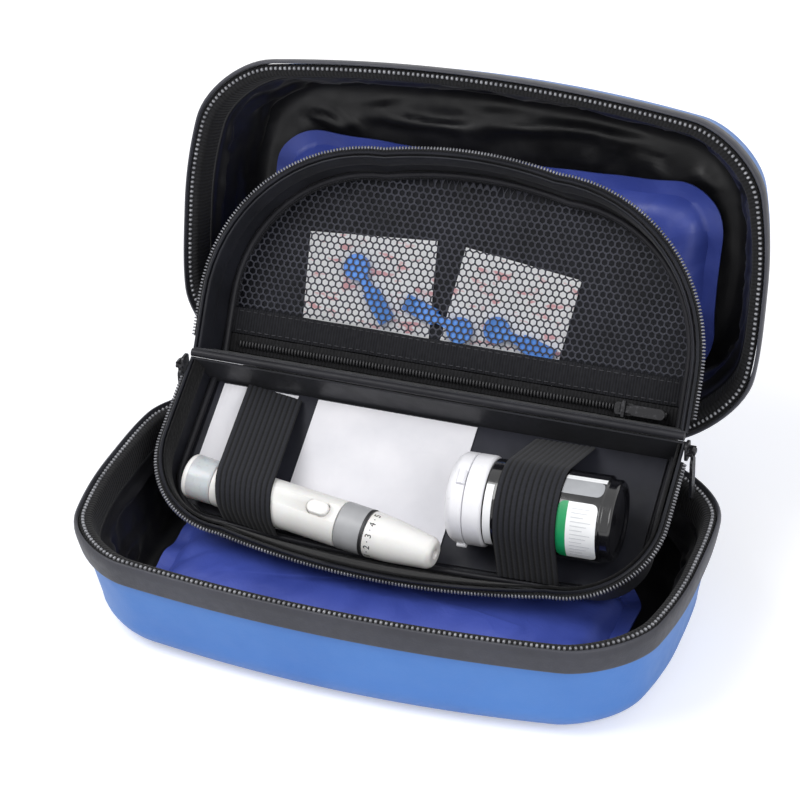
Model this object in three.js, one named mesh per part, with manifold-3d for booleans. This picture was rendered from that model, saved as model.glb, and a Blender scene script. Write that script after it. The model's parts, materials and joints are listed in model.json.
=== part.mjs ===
// Insulin cooling case, standing open: two moulded half shells hold a gel pack each, and a folding
// organiser between them carries a lancing pen, a strip bottle and flat supplies.
// Millimetres. X runs along the case, Y to the hinge at the back, Z up from the surface below it.
import * as THREE from 'three';
import { mergeGeometries, mergeVertices } from 'three/addons/utils/BufferGeometryUtils.js';
import Module from 'manifold-3d';

const wasm = await Module();
wasm.setup();

// Case shells
const caseLength = 206;
const caseDepth = 116.5;
const shellHeight = 41;
const cornerRadius = 20;
const sideBow = 9.4;
const frontBow = 8;
const shellWall = 3.2;
const edgeRound = 12;
const wallDraft = 4.4;
const bandHeight = 10;
const bandThickness = 1.2;
const bandChamfer = 0.7;
const liningThickness = 0.8;
const lidAngle = 104;
const clearance = 0.3;

// Zips and hinge strip
const beadDiameter = 2.2;
const tapeThickness = 0.8;
const tapeHeight = 7;
const stripLength = 118;
const stripHeight = 10;
const stripThickness = 0.8;
const caseSliderX = 68;

// Gel packs
const packMarginX = 19;
const packMarginY = 22.25;
const basePackForward = 8;
const lidPackBack = 10;
const packThickness = 14;
const packCorner = 20;
const packCornerTaper = 0.5;
const packWaist = 2.5;
const weldWidth = 5;
const weldThickness = 1;
const weldLevel = 0.42;
const crownReach = [0, 4, 11, 20];
const crownShare = [0.1, 0.58, 0.86, 1];

// Organiser leaves, each measured from the fold line along the leaf
const foldToHinge = 21.25;
const seatGap = 0.66;
const trayTilt = 30;
const flapTilt = 58;
const leafWall = 1;
const cordRadius = 1.4;
const organiserMargin = 15;
const trayFloorInset = 3.9;
const trayMargin = 48;
const trayLip = 11.5;
const trayHeight = 16;
const trayRimCorner = 32;
const trayRimBow = 6.5;
const trayFloorCorner = 17;
const trayFloorBow = 2;
const boardThickness = 0.8;
const flapMargin = 35.9;
const flapFlare = 6.6;
const flapFloorInset = 6;
const flapHeight = 21.6;
const flapRimSide = 19.6;
const flapRimBow = 3;
const flapFloorSide = 22;
const flapFloorBow = 4;
const pipingDiameter = 2.2;
const sliderToTeeth = 1.6;
const leafGap = 1.5;
const leafTapeHeight = 6.5;

// Pocket of the rear leaf
const netRecess = 17.5;
const netThickness = 0.6;
const netStart = 18;
const netHem = 2;
const meshWidth = 12;
const meshHeight = 9;
const cordWidth = 1.5;
const bandStart = 8.7;
const bandRise = 1;
const pocketBead = 0.9;
const pocketTeethInset = 4;
const pocketSliderInset = 18.5;

// Straps
const strapWidth = 21;
const strapThickness = 0.9;
const strapOnPenShare = 0.25;
const strapLeftLean = 0.16;
const strapOnBottle = 27.9;
const strapRightLean = 0.03;
const strapFrontInset = 2.2;
const strapBackInset = 1.7;

// Flat supplies; places and sizes are shares of the leaf they lie in, turns are in degrees
const sachetThickness = 0.5;
const sachetCorner = 1.2;
const sachets = {
  paper_sachet_left: { xShare: -0.77, sShare: 0.375, widthShare: 0.33, lengthShare: 0.65 },
  paper_sachet_right: { xShare: -0.172, sShare: 0.49, widthShare: 0.69, lengthShare: 0.88 },
};
const padThickness = 0.6;
const padCorner = 1;
const pads = {
  prep_pad_left: { xShare: -0.426, sShare: 0.41, widthShare: 0.568, lengthShare: 0.52, turn: 4 },
  prep_pad_right: { xShare: 0.2, sShare: 0.4, widthShare: 0.52, lengthShare: 0.5, turn: -7 },
};
const lancetThickness = 1.9;
const lancetHead = 4.6;
const lancetNeck = 1.6;
const lancetNeckLength = 10;
const lancetBody = 2.9;
const lancetBodyLength = 12;
const lancets = {
  lancet_1: { xShare: -0.41, sShare: 0.41, turn: -50 },
  lancet_2: { xShare: -0.111, sShare: 0.34, turn: 162 },
  lancet_3: { xShare: 0.281, sShare: 0.29, turn: -16 },
};

// Lancing pen and strip bottle; the pen fills the length that the bottle leaves
const penRadius = 8;
const penBore = 5.3;
const penRearGap = 8.4;
const penBottleGap = 1.8;
const penRearInset = 14;
const penTipInset = 2;
const penEndShare = 0.12;
const penNoseShare = 0.258;
const penRingShare = 0.1075;
const penTipRadius = 5.4;
const penTipHole = 1.5;
const buttonLength = 8;
const buttonWidth = 5;
const buttonToRingShare = 0.082;
const buttonProud = 0.9;
const buttonTravel = 1.2;
const bottleLength = 56;
const bottleRadius = 14.5;
const bottleWall = 1.6;
const bottleCapRadius = 15.2;
const bottleLidLength = 6.6;
const bottleCollarLength = 6.3;
const bottleEndGap = 9;
const bottleInset = 21.3;
const bottleTurn = 1.5;
const knuckleRadius = 1.5;

// Sliders: width, height and thickness of the plate, then length and width of the pull
const caseSlider = { body: [6.5, 8, 1.6], tab: [15, 5.5] };
const organiserSlider = { body: [5, 6.5, 0.9], tab: [16, 4] };
const pocketSlider = { body: [4.2, 7, 1], tab: [12, 3.6] };
const pullBarReach = 1.4;
const pullBar = 1;
const pullEye = 1.3;
const pullEyeBore = 0.8;

// Faceting
const cornerSteps = 5;
const sideSteps = 4;
const turnSteps = 20;
const beadSides = 6;

const degrees = THREE.MathUtils.degToRad;
const beadRadius = beadDiameter / 2;
const shellTop = shellHeight - clearance * 1.5 - beadDiameter;
const innerOffset = shellWall + clearance;
const cavityOffset = innerOffset + liningThickness;
const stripFace = caseDepth / 2 + bandThickness + 2 * clearance;
const hingeY = stripFace + stripThickness;
const packLength = caseLength - 2 * packMarginX;
const packDepth = caseDepth - 2 * packMarginY;
const foldY = hingeY - foldToHinge;
const rimHalfWidth = caseLength / 2 - organiserMargin;
const trayDepth = caseDepth - trayMargin;
const trayFloorHalfWidth = rimHalfWidth - trayFloorInset;
const trayFloorDepth = trayDepth - trayLip;
const packTop = cavityOffset + clearance + packThickness;
const seat = new THREE.Vector2(-trayFloorDepth - leafWall, -trayHeight - leafWall);
seat.rotateAround(new THREE.Vector2(), degrees(trayTilt));
const foldZ = packTop + seatGap - seat.y;
const flapDepth = caseDepth - flapMargin;
const flapFloorHalfWidth = rimHalfWidth - flapFloorInset;
const flapFloorDepth = flapDepth - flapFlare;
const flapRimCorner = flapDepth - flapRimBow - flapRimSide;
const flapFloorCorner = flapFloorDepth - flapFloorBow - flapFloorSide;
const floorTop = -trayHeight + boardThickness + clearance;
const leafStart = Math.sqrt((cordRadius + clearance) ** 2 - leafGap ** 2) + leafWall;
const trayTeethS = leafStart + (trayDepth - trayRimBow - trayRimCorner - leafStart) / sideSteps;
const organiserSliderS = trayTeethS - sliderToTeeth - organiserSlider.body[1] / 2;
const penRearX = penRearGap - trayFloorHalfWidth;
const bottleX = trayFloorHalfWidth - bottleEndGap - bottleLength;
const penLength = bottleX - penBottleGap - penRearX;
const penRearS = trayFloorDepth - penRearInset;
const penTipS = trayFloorDepth - penTipInset;
const penEndLength = penEndShare * penLength;
const penRingLength = penRingShare * penLength;
const penRingStart = penLength * (1 - penNoseShare) - penRingLength;
const buttonX = penRingStart - buttonToRingShare * penLength;
const strapOnPen = strapOnPenShare * penLength;
const bottleS = trayFloorDepth - bottleInset;

// Surface finishes
function finish(color, roughness, metalness = 0) {
  return new THREE.MeshStandardMaterial({ color, roughness, metalness });
}
const blueShell = finish(0x2f80e0, 0.5);
const greyBand = finish(0x3c3d42, 0.7);
const blackNylon = finish(0x141416, 0.6);
const wovenTape = finish(0x1a1a1b, 0.9);
const teethGrey = finish(0x8d8f92, 0.4, 0.6);
const gelBlue = finish(0x1c2f9c, 0.35);
const boardGrey = finish(0x33343a, 0.7);
const elasticBlack = finish(0x1c1c1e, 0.9);
const whitePaper = finish(0xe9e9ec, 0.7);
const whitePlastic = finish(0xeeece8, 0.4);
const greyPlastic = finish(0x9a9ca0, 0.4);
const blackPlastic = finish(0x121214, 0.25);
const lancetBlue = finish(0x3f78d8, 0.4);
const sliderBlack = finish(0x1b1b1d, 0.45, 0.3);

const assembly = new THREE.Group();

function add(parent, name, geometry, material) {
  const mesh = new THREE.Mesh(geometry, material);
  mesh.name = name;
  parent.add(mesh);
  return mesh;
}

function group(parent, x, y, z) {
  const holder = new THREE.Group();
  holder.position.set(x, y, z);
  parent.add(holder);
  return holder;
}

// Closed surface from shared points, turned so that its faces point out
function outward(points, faces) {
  let volume = 0;
  for (let i = 0; i < faces.length; i += 3) {
    const [a, b, c] = faces.slice(i, i + 3).map((k) => points[k]);
    volume += a.dot(b.clone().cross(c));
  }
  if (volume < 0) {
    faces.reverse();
  }
  const geometry = new THREE.BufferGeometry().setFromPoints(points);
  geometry.setIndex(faces);
  return geometry;
}

// Skin through rings of equal count, with flat ends, or joined end to end when it is a loop
function loft(rings, isLoop = false) {
  const count = rings[0].length;
  const last = (rings.length - 1) * count;
  const faces = [];
  for (let r = 0; r < rings.length - (isLoop ? 0 : 1); r++) {
    const here = r * count;
    const next = ((r + 1) % rings.length) * count;
    for (let i = 0; i < count; i++) {
      const j = (i + 1) % count;
      faces.push(here + i, here + j, next + j, here + i, next + j, next + i);
    }
  }
  for (let i = 1; i < count - 1 && !isLoop; i++) {
    faces.push(0, i + 1, i, last, last + i, last + i + 1);
  }
  return outward(rings.flat(), faces);
}

function cleaned(geometry) {
  geometry.deleteAttribute('normal');
  geometry.deleteAttribute('uv');
  return mergeVertices(geometry, 1e-4);
}

function toSolid(geometry) {
  const shared = cleaned(geometry.clone());
  const vertProperties = new Float32Array(shared.attributes.position.array);
  const triVerts = new Uint32Array(shared.index.array);
  return new wasm.Manifold(new wasm.Mesh({ numProp: 3, vertProperties, triVerts }));
}

function fromSolid(body) {
  const { vertProperties, triVerts } = body.getMesh();
  const geometry = new THREE.BufferGeometry();
  geometry.setAttribute('position', new THREE.BufferAttribute(vertProperties, 3));
  geometry.setIndex(new THREE.BufferAttribute(triVerts, 1));
  return geometry;
}

function joined(...geometries) {
  return fromSolid(geometries.map(toSolid).reduce((sum, next) => sum.add(next)));
}

function cut(geometry, tool) {
  return fromSolid(toSolid(geometry).subtract(toSolid(tool)));
}

// Round piece about the X axis, from (x, radius) points that close on themselves
function turned(profile) {
  const points = profile.map(([x, radius]) => new THREE.Vector2(radius, x));
  const lathe = cleaned(new THREE.LatheGeometry([...points, points[0]], turnSteps));
  const spots = [];
  for (let i = 0; i < lathe.attributes.position.count; i++) {
    spots.push(new THREE.Vector3().fromBufferAttribute(lathe.attributes.position, i));
  }
  const faces = [];
  for (let i = 0; i < lathe.index.count; i += 3) {
    const trio = [0, 1, 2].map((k) => lathe.index.getX(i + k));
    if (new Set(trio).size === 3) {
      faces.push(...trio);
    }
  }
  return outward(spots, faces).rotateZ(-Math.PI / 2);
}

// Flat plate with an outline in XY, standing on z = 0
function plate(shape, thickness) {
  return new THREE.ExtrudeGeometry(shape, { depth: thickness, bevelEnabled: false, curveSegments: 3 });
}

function roundedShape(width, height, radius) {
  const shape = new THREE.Shape();
  const x = width / 2 - radius;
  const y = height / 2 - radius;
  shape.absarc(x, -y, radius, -Math.PI / 2, 0);
  shape.absarc(x, y, radius, 0, Math.PI / 2);
  shape.absarc(-x, y, radius, Math.PI / 2, Math.PI);
  shape.absarc(-x, -y, radius, Math.PI, Math.PI * 1.5);
  return shape;
}

// Rounded rectangle as one loop of points, with extra points along its sides
function roundedLoop(halfX, halfY, radius) {
  const loop = [];
  for (let corner = 0; corner < 4; corner++) {
    const centre = new THREE.Vector2(
      (corner < 2 ? 1 : -1) * (halfX - radius),
      (corner % 3 ? 1 : -1) * (halfY - radius),
    );
    for (let i = 0; i <= cornerSteps; i++) {
      const angle = (corner - 1 + i / cornerSteps) * Math.PI / 2;
      const reach = new THREE.Vector2(Math.cos(angle), Math.sin(angle)).multiplyScalar(radius);
      loop.push(reach.add(centre));
    }
  }
  const size = cornerSteps + 1;
  return loop.flatMap((point, i) => {
    const next = loop[(i + 1) % loop.length];
    const steps = i % size === cornerSteps ? sideSteps : 1;
    return Array.from({ length: steps }, (_, k) => point.clone().lerp(next, k / steps));
  });
}

// Outline of a half shell, drawn in from its rim; the hinge side is straighter than the others
function caseRing(inset, z, hingeSide) {
  const halfX = caseLength / 2 - sideBow - inset;
  const halfY = caseDepth / 2 - frontBow - inset;
  return roundedLoop(halfX, halfY, cornerRadius - inset / 2).map((point) => {
    const atHinge = point.y * hingeSide > 0;
    const u = point.x / halfX;
    const v = point.y / halfY;
    const x = point.x + sideBow * u * (1 - Math.abs(v) ** (atHinge ? 4 : 2));
    const y = point.y + frontBow * v * (1 - Math.abs(u) ** (atHinge ? 6 : 2));
    return new THREE.Vector3(x, y, z);
  });
}

function draftAt(z) {
  return wallDraft * Math.max(0, (shellTop - z) / (shellTop - edgeRound));
}

// Half section of the shell's skin at a depth inside its outer face, from the floor to a top edge
function skin(depth, top) {
  const arc = [0, 1, 2, 3].map((step) => {
    const angle = step * Math.PI / 6;
    const radius = edgeRound - depth;
    return [
      wallDraft + edgeRound - radius * Math.sin(angle),
      edgeRound - radius * Math.cos(angle),
    ];
  });
  return [...arc, [depth + draftAt(top), top]];
}

function cup(outerDepth, innerDepth, top, hingeSide) {
  const section = [...skin(outerDepth, top), ...skin(innerDepth, top).reverse()];
  return loft(section.map(([inset, z]) => caseRing(inset, z, hingeSide)));
}

function rimLoop(section, hingeSide) {
  return loft(section.map(([inset, z]) => caseRing(inset + draftAt(z), z, hingeSide)), true);
}

function polygon(centreU, centreV, radius) {
  return Array.from({ length: beadSides }, (_, i) => {
    const angle = (i + 0.5) * 2 * Math.PI / beadSides;
    return [centreU + radius * Math.cos(angle), centreV + radius * Math.sin(angle)];
  });
}

// Gel pack: welded flat border, drawn-in sides between the corners, crowned top and flatter back
function gelPack() {
  const weldZ = packThickness * weldLevel;
  const reach = crownReach.map((inward) => weldWidth + inward);
  const half = weldThickness / 2;
  const up = crownShare.map((k, i) => [reach[i], weldZ + half + k * (packThickness - weldZ - half)]);
  const down = crownShare.map((k, i) => [reach[i], (weldZ - half) * (1 - k)]);
  const section = [...down.reverse(), [0, weldZ - half], [0, weldZ + half], ...up];
  return loft(section.map(([inset, z]) => {
    const halfX = packLength / 2 - inset;
    const halfY = packDepth / 2 - inset;
    return roundedLoop(halfX, halfY, packCorner - inset * packCornerTaper).map((point) => {
      const u = point.x / halfX;
      const v = point.y / halfY;
      const x = point.x - packWaist * u * (1 - v * v);
      const y = point.y - packWaist * v * (1 - u * u);
      return new THREE.Vector3(x, y, z);
    });
  }));
}

// One half of the case, on its back with the rim up; hingeSide is the sign of Y at the hinge,
// and packShift is how far the gel pack lies from the middle toward it
function halfCase(parent, side, hingeSide, packShift) {
  const bandTop = shellHeight - clearance;
  const bandFoot = shellHeight - bandHeight;
  const bandFace = -clearance - bandThickness;
  const beadZ = shellHeight - clearance / 2 - beadRadius;
  const tapeFoot = shellTop - tapeHeight;
  const tapeIn = innerOffset + tapeThickness;
  const tapeEdge = beadDiameter + clearance;
  add(parent, `${side}_shell`, cup(0, shellWall, shellTop, hingeSide), blueShell);
  add(parent, `${side}_lining`, cup(innerOffset, cavityOffset, tapeFoot - clearance, hingeSide), blackNylon);
  add(parent, `${side}_rim_band`, rimLoop([
    [-clearance, bandFoot],
    [bandFace + bandChamfer, bandFoot],
    [bandFace, bandFoot + bandChamfer],
    [bandFace, shellTop],
    [bandFace, bandTop - bandChamfer],
    [bandFace + bandChamfer, bandTop],
    [-clearance, bandTop],
    [-clearance, shellTop],
  ], hingeSide), greyBand);
  add(parent, `${side}_zip_tape`, rimLoop([
    [innerOffset, tapeFoot],
    [innerOffset, shellTop + clearance],
    [tapeEdge, beadZ],
    [tapeEdge + tapeThickness, beadZ + clearance],
    [tapeIn, shellTop + clearance],
    [tapeIn, tapeFoot],
  ], hingeSide), wovenTape);
  add(parent, `${side}_zip_teeth`, rimLoop(polygon(beadRadius, beadZ, beadRadius), hingeSide), teethGrey);
  const pack = add(parent, `${side}_gel_pack`, gelPack(), gelBlue);
  pack.position.set(0, hingeSide * packShift, cavityOffset + clearance);
  const strip = plate(roundedShape(stripLength, stripHeight, 2), stripThickness).rotateX(Math.PI / 2);
  const hinge = add(parent, `${side}_hinge_strip`, strip, greyBand);
  const inside = hingeSide > 0 ? hingeY : -stripFace;
  hinge.position.set(0, inside, shellHeight - clearance - stripHeight / 2);
}

// Slider plate with the bar that its pull turns on; the plate's outward side is +Y
function sliderBody(width, height, thickness) {
  const barY = thickness + pullBarReach;
  const legHeight = pullBarReach + pullBar / 2 + thickness / 2;
  const body = plate(roundedShape(width, height, width * 0.3), thickness).rotateX(-Math.PI / 2);
  const bar = new THREE.BoxGeometry(2 * pullEye + 3 * pullBar, pullBar, pullBar).translate(0, barY, 0);
  const legs = [-1, 1].map((sign) => {
    const leg = new THREE.BoxGeometry(pullBar, legHeight, pullBar);
    return leg.translate(sign * (pullEye + pullBar), barY + pullBar / 2 - legHeight / 2, 0);
  });
  return joined(body, bar, ...legs);
}

// Pull that hangs from the bar: a rolled eye and a flat tab with a round end
function pull(length, width) {
  const eye = new THREE.Shape();
  eye.absarc(0, 0, pullEye, 0, 2 * Math.PI);
  eye.holes.push(new THREE.Path().absarc(0, 0, pullEyeBore, 0, 2 * Math.PI, true));
  const roll = plate(eye, 2 * pullEye).translate(0, 0, -pullEye).rotateY(Math.PI / 2);
  const neckTop = -(pullEye + pullEyeBore) / 2;
  const neck = new THREE.BoxGeometry(2 * pullEye - clearance, pullBar, 2 * pullEye);
  neck.translate(0, 0, neckTop - pullEye);
  const tab = plate(roundedShape(width, length, width * 0.45), pullBar).rotateX(Math.PI / 2);
  tab.translate(0, pullBar / 2, neckTop - pullEye - length / 2);
  return joined(roll, neck, tab);
}

function slider(parent, name, place, { body, tab }) {
  const [width, height, thickness] = body;
  const holder = group(parent, ...place);
  add(holder, `${name}_slider`, sliderBody(width, height, thickness), sliderBlack);
  const hung = add(holder, `${name}_pull`, pull(...tab), sliderBlack);
  hung.position.y = thickness + pullBarReach;
  return holder;
}

// D-shaped path of a leaf, from the fold along one side, round the far edge and back to the fold
function leafPath(halfWidth, depth, radius, bow, start) {
  const cornerX = halfWidth - radius;
  const cornerS = depth - bow - radius;
  const path = [];
  for (let i = 0; i < sideSteps; i++) {
    path.push([-halfWidth, start + (cornerS - start) * i / sideSteps]);
  }
  for (let i = 0; i <= cornerSteps; i++) {
    const angle = (i / cornerSteps) * Math.PI / 2;
    path.push([-cornerX - radius * Math.cos(angle), cornerS + radius * Math.sin(angle)]);
  }
  for (let i = 1; i <= sideSteps; i++) {
    const u = -1 + i / sideSteps;
    path.push([cornerX * u, depth - bow * u * u]);
  }
  const mirrored = path.slice(0, -1).reverse().map(([x, s]) => [-x, s]);
  return [...path, ...mirrored];
}

function flatRing(path, z, sign) {
  return path.map(([x, s]) => new THREE.Vector3(x, sign * s, z));
}

// Points on a leaf's wall: a share of the way up it, out from its inner face and back over the fold
function leafPoints(floorPath, rimPath, floorZ, sign) {
  const foot = flatRing(floorPath, floorZ, sign);
  const head = flatRing(rimPath, 0, sign);
  const end = foot.length - 1;
  return (up, out, back = 0) => foot.map((point, i) => {
    const along = foot[Math.min(i + 1, end)].clone().sub(foot[Math.max(i - 1, 0)]);
    const rise = head[i].clone().sub(point);
    const normal = rise.clone().cross(along).normalize();
    const spot = point.clone().addScaledVector(rise, up).addScaledVector(normal, sign * out);
    spot.y -= i % end ? 0 : sign * back;
    return spot;
  });
}

function openStrip(section, at) {
  const lines = section.map(([up, out]) => at(up, out));
  return loft(lines[0].map((_, i) => lines.map((line) => line[i])));
}

// Shell, tape and teeth that both leaves share, on a wall that runs from the floor to the rim
function leaf(parent, name, at, height) {
  const top = 1 - leafGap / height;
  const outer = (up) => at(up, leafWall, leafWall);
  const sole = outer(0).map((point) => point.setZ(-height - leafWall));
  const outside = [sole, outer(top / 2), outer(top)];
  const inside = [at(top, 0), at(top / 2, 0), at(0, 0)];
  add(parent, `${name}_shell`, loft([...outside, ...inside]), blackNylon);
  const tapeTop = top - clearance / height;
  const tapeFoot = tapeTop - leafTapeHeight / height;
  const face = -2 * clearance;
  const back = face - tapeThickness;
  const tape = [[tapeFoot, face], [tapeTop, face], [tapeTop, back], [tapeFoot, back]];
  add(parent, `${name}_zip_tape`, openStrip(tape, at), wovenTape);
  const beadOut = leafWall + clearance + beadRadius;
  const teeth = polygon(0, 0, beadRadius).map(([u, v]) => [top + (u - beadRadius) / height, beadOut + v]);
  add(parent, `${name}_zip_teeth`, openStrip(teeth, (up, out) => at(up, out).slice(1, -1)), teethGrey);
}

// Round cord sewn along the inside of a leaf's wall, at a height above its floor
function piping(parent, name, at, height, above) {
  const radius = pipingDiameter / 2;
  const section = polygon(0, 0, radius).map(([u, v]) => [(above + u) / height, v - radius - clearance]);
  add(parent, name, openStrip(section, at), blackNylon);
}

// Section of a strap pulled taut from the back of the floor over a round piece and down to the front
function strapSection(centreS, centreH, radius) {
  const from = new THREE.Vector2(leafStart + strapBackInset, clearance + sachetThickness);
  const to = new THREE.Vector2(trayFloorDepth - strapFrontInset, pipingDiameter + 3 * clearance);
  const inner = radius + clearance;
  const outer = inner + strapThickness;
  const touch = (point, reach, sign) => {
    const ray = point.clone().sub(new THREE.Vector2(centreS, centreH));
    return ray.angle() + sign * Math.acos(Math.min(1, reach / ray.length()));
  };
  const over = to.clone().setX(to.x + strapThickness);
  const under = from.clone().setY(from.y + strapThickness);
  const shape = new THREE.Shape();
  shape.moveTo(from.x, from.y);
  shape.absarc(centreS, centreH, inner, touch(from, inner, -1), touch(to, inner, 1), true);
  shape.lineTo(to.x, to.y);
  shape.lineTo(over.x, over.y);
  shape.absarc(centreS, centreH, outer, touch(over, outer, 1), touch(under, outer, -1), false);
  shape.lineTo(under.x, under.y);
  return shape;
}

// Lower half of the case
const base = group(assembly, 0, 0, 0);
halfCase(base, 'base', 1, -basePackForward);
const backAt = caseDepth / 2 - frontBow * (caseSliderX / (caseLength / 2 - sideBow)) ** 6;
const caseSliderZ = shellHeight - 2 * clearance - caseSlider.body[1] / 2;
for (const [sideName, sign] of [['left', -1], ['right', 1]]) {
  const place = [sign * caseSliderX, backAt + bandThickness + 2 * clearance, caseSliderZ];
  slider(base, `case_${sideName}`, place, caseSlider);
}

// Upper half, built as the lower one, turned over onto it and swung open at the hinge
const lidHinge = group(assembly, 0, hingeY, shellHeight);
lidHinge.rotation.x = -degrees(lidAngle);
const lid = group(lidHinge, 0, -hingeY, shellHeight);
lid.rotation.x = Math.PI;
halfCase(lid, 'lid', -1, lidPackBack);

// Front leaf of the organiser, a shallow tray whose front wall lies out as a lip
const trayFold = group(assembly, 0, foldY, foldZ);
trayFold.rotation.x = degrees(trayTilt);
const trayFloorPath = leafPath(trayFloorHalfWidth, trayFloorDepth, trayFloorCorner, trayFloorBow, leafStart);
const trayRimPath = leafPath(rimHalfWidth, trayDepth, trayRimCorner, trayRimBow, leafStart);
const trayAt = leafPoints(trayFloorPath, trayRimPath, -trayHeight, -1);
leaf(trayFold, 'tray', trayAt, trayHeight);
piping(trayFold, 'tray_piping', trayAt, trayHeight, clearance + pipingDiameter / 2);
const boardInset = 3 * clearance + pipingDiameter;
const boardPath = leafPath(
  trayFloorHalfWidth - boardInset, trayFloorDepth - boardInset,
  trayFloorCorner - boardInset, trayFloorBow, leafStart + clearance,
);
const boardRings = [floorTop - boardThickness, floorTop].map((z) => flatRing(boardPath, z, -1));
add(trayFold, 'tray_floor_board', loft(boardRings), boardGrey);
const foldCord = new THREE.CylinderGeometry(cordRadius, cordRadius, 2 * rimHalfWidth, 8);
add(trayFold, 'organiser_fold_cord', foldCord.rotateZ(Math.PI / 2), blackNylon);
for (const [sideName, sign] of [['left', -1], ['right', 1]]) {
  const sliderX = rimHalfWidth + leafWall + clearance;
  const place = [sign * sliderX, -organiserSliderS, -leafGap];
  const holder = slider(trayFold, `organiser_${sideName}`, place, organiserSlider);
  holder.rotation.set(-degrees(trayTilt), 0, 0);
  holder.rotateZ(-sign * Math.PI / 2);
}

// Flat paper sachets on the floor of the tray
const floorSurface = group(trayFold, 0, 0, floorTop);
for (const [name, { xShare, sShare, widthShare, lengthShare }] of Object.entries(sachets)) {
  const width = widthShare * trayFloorHalfWidth;
  const outline = roundedShape(width, lengthShare * trayFloorDepth, sachetCorner);
  const sachet = add(floorSurface, name, plate(outline, sachetThickness), whitePaper);
  sachet.position.set(xShare * trayFloorHalfWidth, -sShare * trayFloorDepth, clearance);
}

// Lancing pen, along X from its rear end to its tip
const restHeight = 2 * clearance + sachetThickness;
const pen = group(floorSurface, penRearX, -penRearS, restHeight + penRadius);
pen.rotation.z = -Math.asin((penTipS - penRearS) / penLength);
const barrelStart = penEndLength + clearance;
const barrelEnd = penRingStart - clearance;
const dialStart = penRingStart + penRingLength + clearance;
const carrierRadius = penBore - clearance;
const barrel = turned([
  [barrelStart, penBore],
  [barrelStart, penRadius - 0.5],
  [barrelStart + 6, penRadius - 0.2],
  [barrelEnd, penRadius],
  [barrelEnd, penBore],
]);
function buttonShape(grow) {
  const width = buttonWidth + grow;
  return roundedShape(buttonLength + grow, width, width * 0.49);
}
const slot = plate(buttonShape(2 * clearance), penRadius * 2).translate(buttonX, 0, 0);
add(pen, 'pen_barrel', cut(barrel, slot), whitePlastic);
add(pen, 'pen_ring', turned([
  [penRingStart, penBore],
  [penRingStart, penRadius + 0.1],
  [penRingStart + penRingLength, penRadius],
  [penRingStart + penRingLength, penBore],
]), greyPlastic);
add(pen, 'pen_depth_dial', turned([
  [dialStart, penBore],
  [dialStart, penRadius - 0.1],
  [dialStart + 8, penRadius - 0.6],
  [penLength - 1.5, penTipRadius],
  [penLength, penTipRadius - 1.2],
  [penLength, penTipHole],
  [penLength - 3, penTipHole],
  [penLength - 4, penBore - 1.6],
]), whitePlastic);
add(pen, 'pen_cocking_end', turned([
  [0, 0],
  [0, penRadius - 2.4],
  [0.8, penRadius - 0.9],
  [2.2, penRadius - 0.3],
  [penEndLength, penRadius - 0.5],
  [penEndLength, carrierRadius],
  [penEndLength + 10, carrierRadius],
  [penEndLength + 10, 0],
]), greyPlastic);
add(pen, 'pen_lancet_carrier', turned([
  [penEndLength + 10 + clearance, 0],
  [penEndLength + 10 + clearance, carrierRadius],
  [dialStart + 3, carrierRadius],
  [dialStart + 4, penTipHole - 0.4],
  [penLength - 4.5, penTipHole - 0.4],
  [penLength - 4, 0],
]), greyPlastic);
const buttonFoot = carrierRadius + buttonTravel + clearance;
const buttonTop = penRadius + buttonProud;
const button = plate(buttonShape(0), buttonTop - buttonFoot).translate(buttonX, 0, buttonFoot);
add(pen, 'pen_release_button', button, whitePlastic);

// Strip bottle, along X from its lid to its base
const bottle = group(floorSurface, bottleX, -bottleS, clearance + bottleCapRadius);
bottle.rotation.z = degrees(bottleTurn);
const collarStart = bottleLidLength + clearance;
const collarEnd = collarStart + bottleCollarLength;
const neckRadius = bottleCapRadius - 1.4 - clearance;
const mouth = neckRadius - bottleWall;
add(bottle, 'bottle_barrel', turned([
  [collarStart, mouth],
  [collarStart, neckRadius],
  [collarEnd + clearance, neckRadius],
  [collarEnd + clearance, bottleRadius],
  [bottleLength - 4, bottleRadius],
  [bottleLength - 3.4, bottleRadius - 1],
  [bottleLength - 0.8, bottleRadius - 1],
  [bottleLength, bottleRadius - 1.8],
  [bottleLength, bottleRadius - 3],
  [bottleLength - 1, bottleRadius - 3.6],
  [bottleLength - 1, 0],
  [bottleLength - 1 - bottleWall, 0],
  [bottleLength - 1 - bottleWall, mouth],
]), blackPlastic);
add(bottle, 'bottle_collar', turned([
  [collarStart, neckRadius + clearance],
  [collarStart, bottleCapRadius],
  [collarEnd - 0.8, bottleCapRadius],
  [collarEnd, bottleCapRadius - 0.6],
  [collarEnd, neckRadius + clearance],
]), whitePlastic);
const lidDisc = turned([
  [0, 0],
  [0, bottleCapRadius - 3.4],
  [0.9, bottleCapRadius - 1.4],
  [2.8, bottleCapRadius],
  [bottleLidLength, bottleCapRadius],
  [bottleLidLength, mouth],
  [2, mouth],
  [2, 0],
]);
const knuckle = new THREE.CylinderGeometry(knuckleRadius, knuckleRadius, 5, 10);
knuckle.translate(bottleLidLength - knuckleRadius, 0, bottleCapRadius);
add(bottle, 'bottle_lid', joined(lidDisc, knuckle), whitePlastic);

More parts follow.
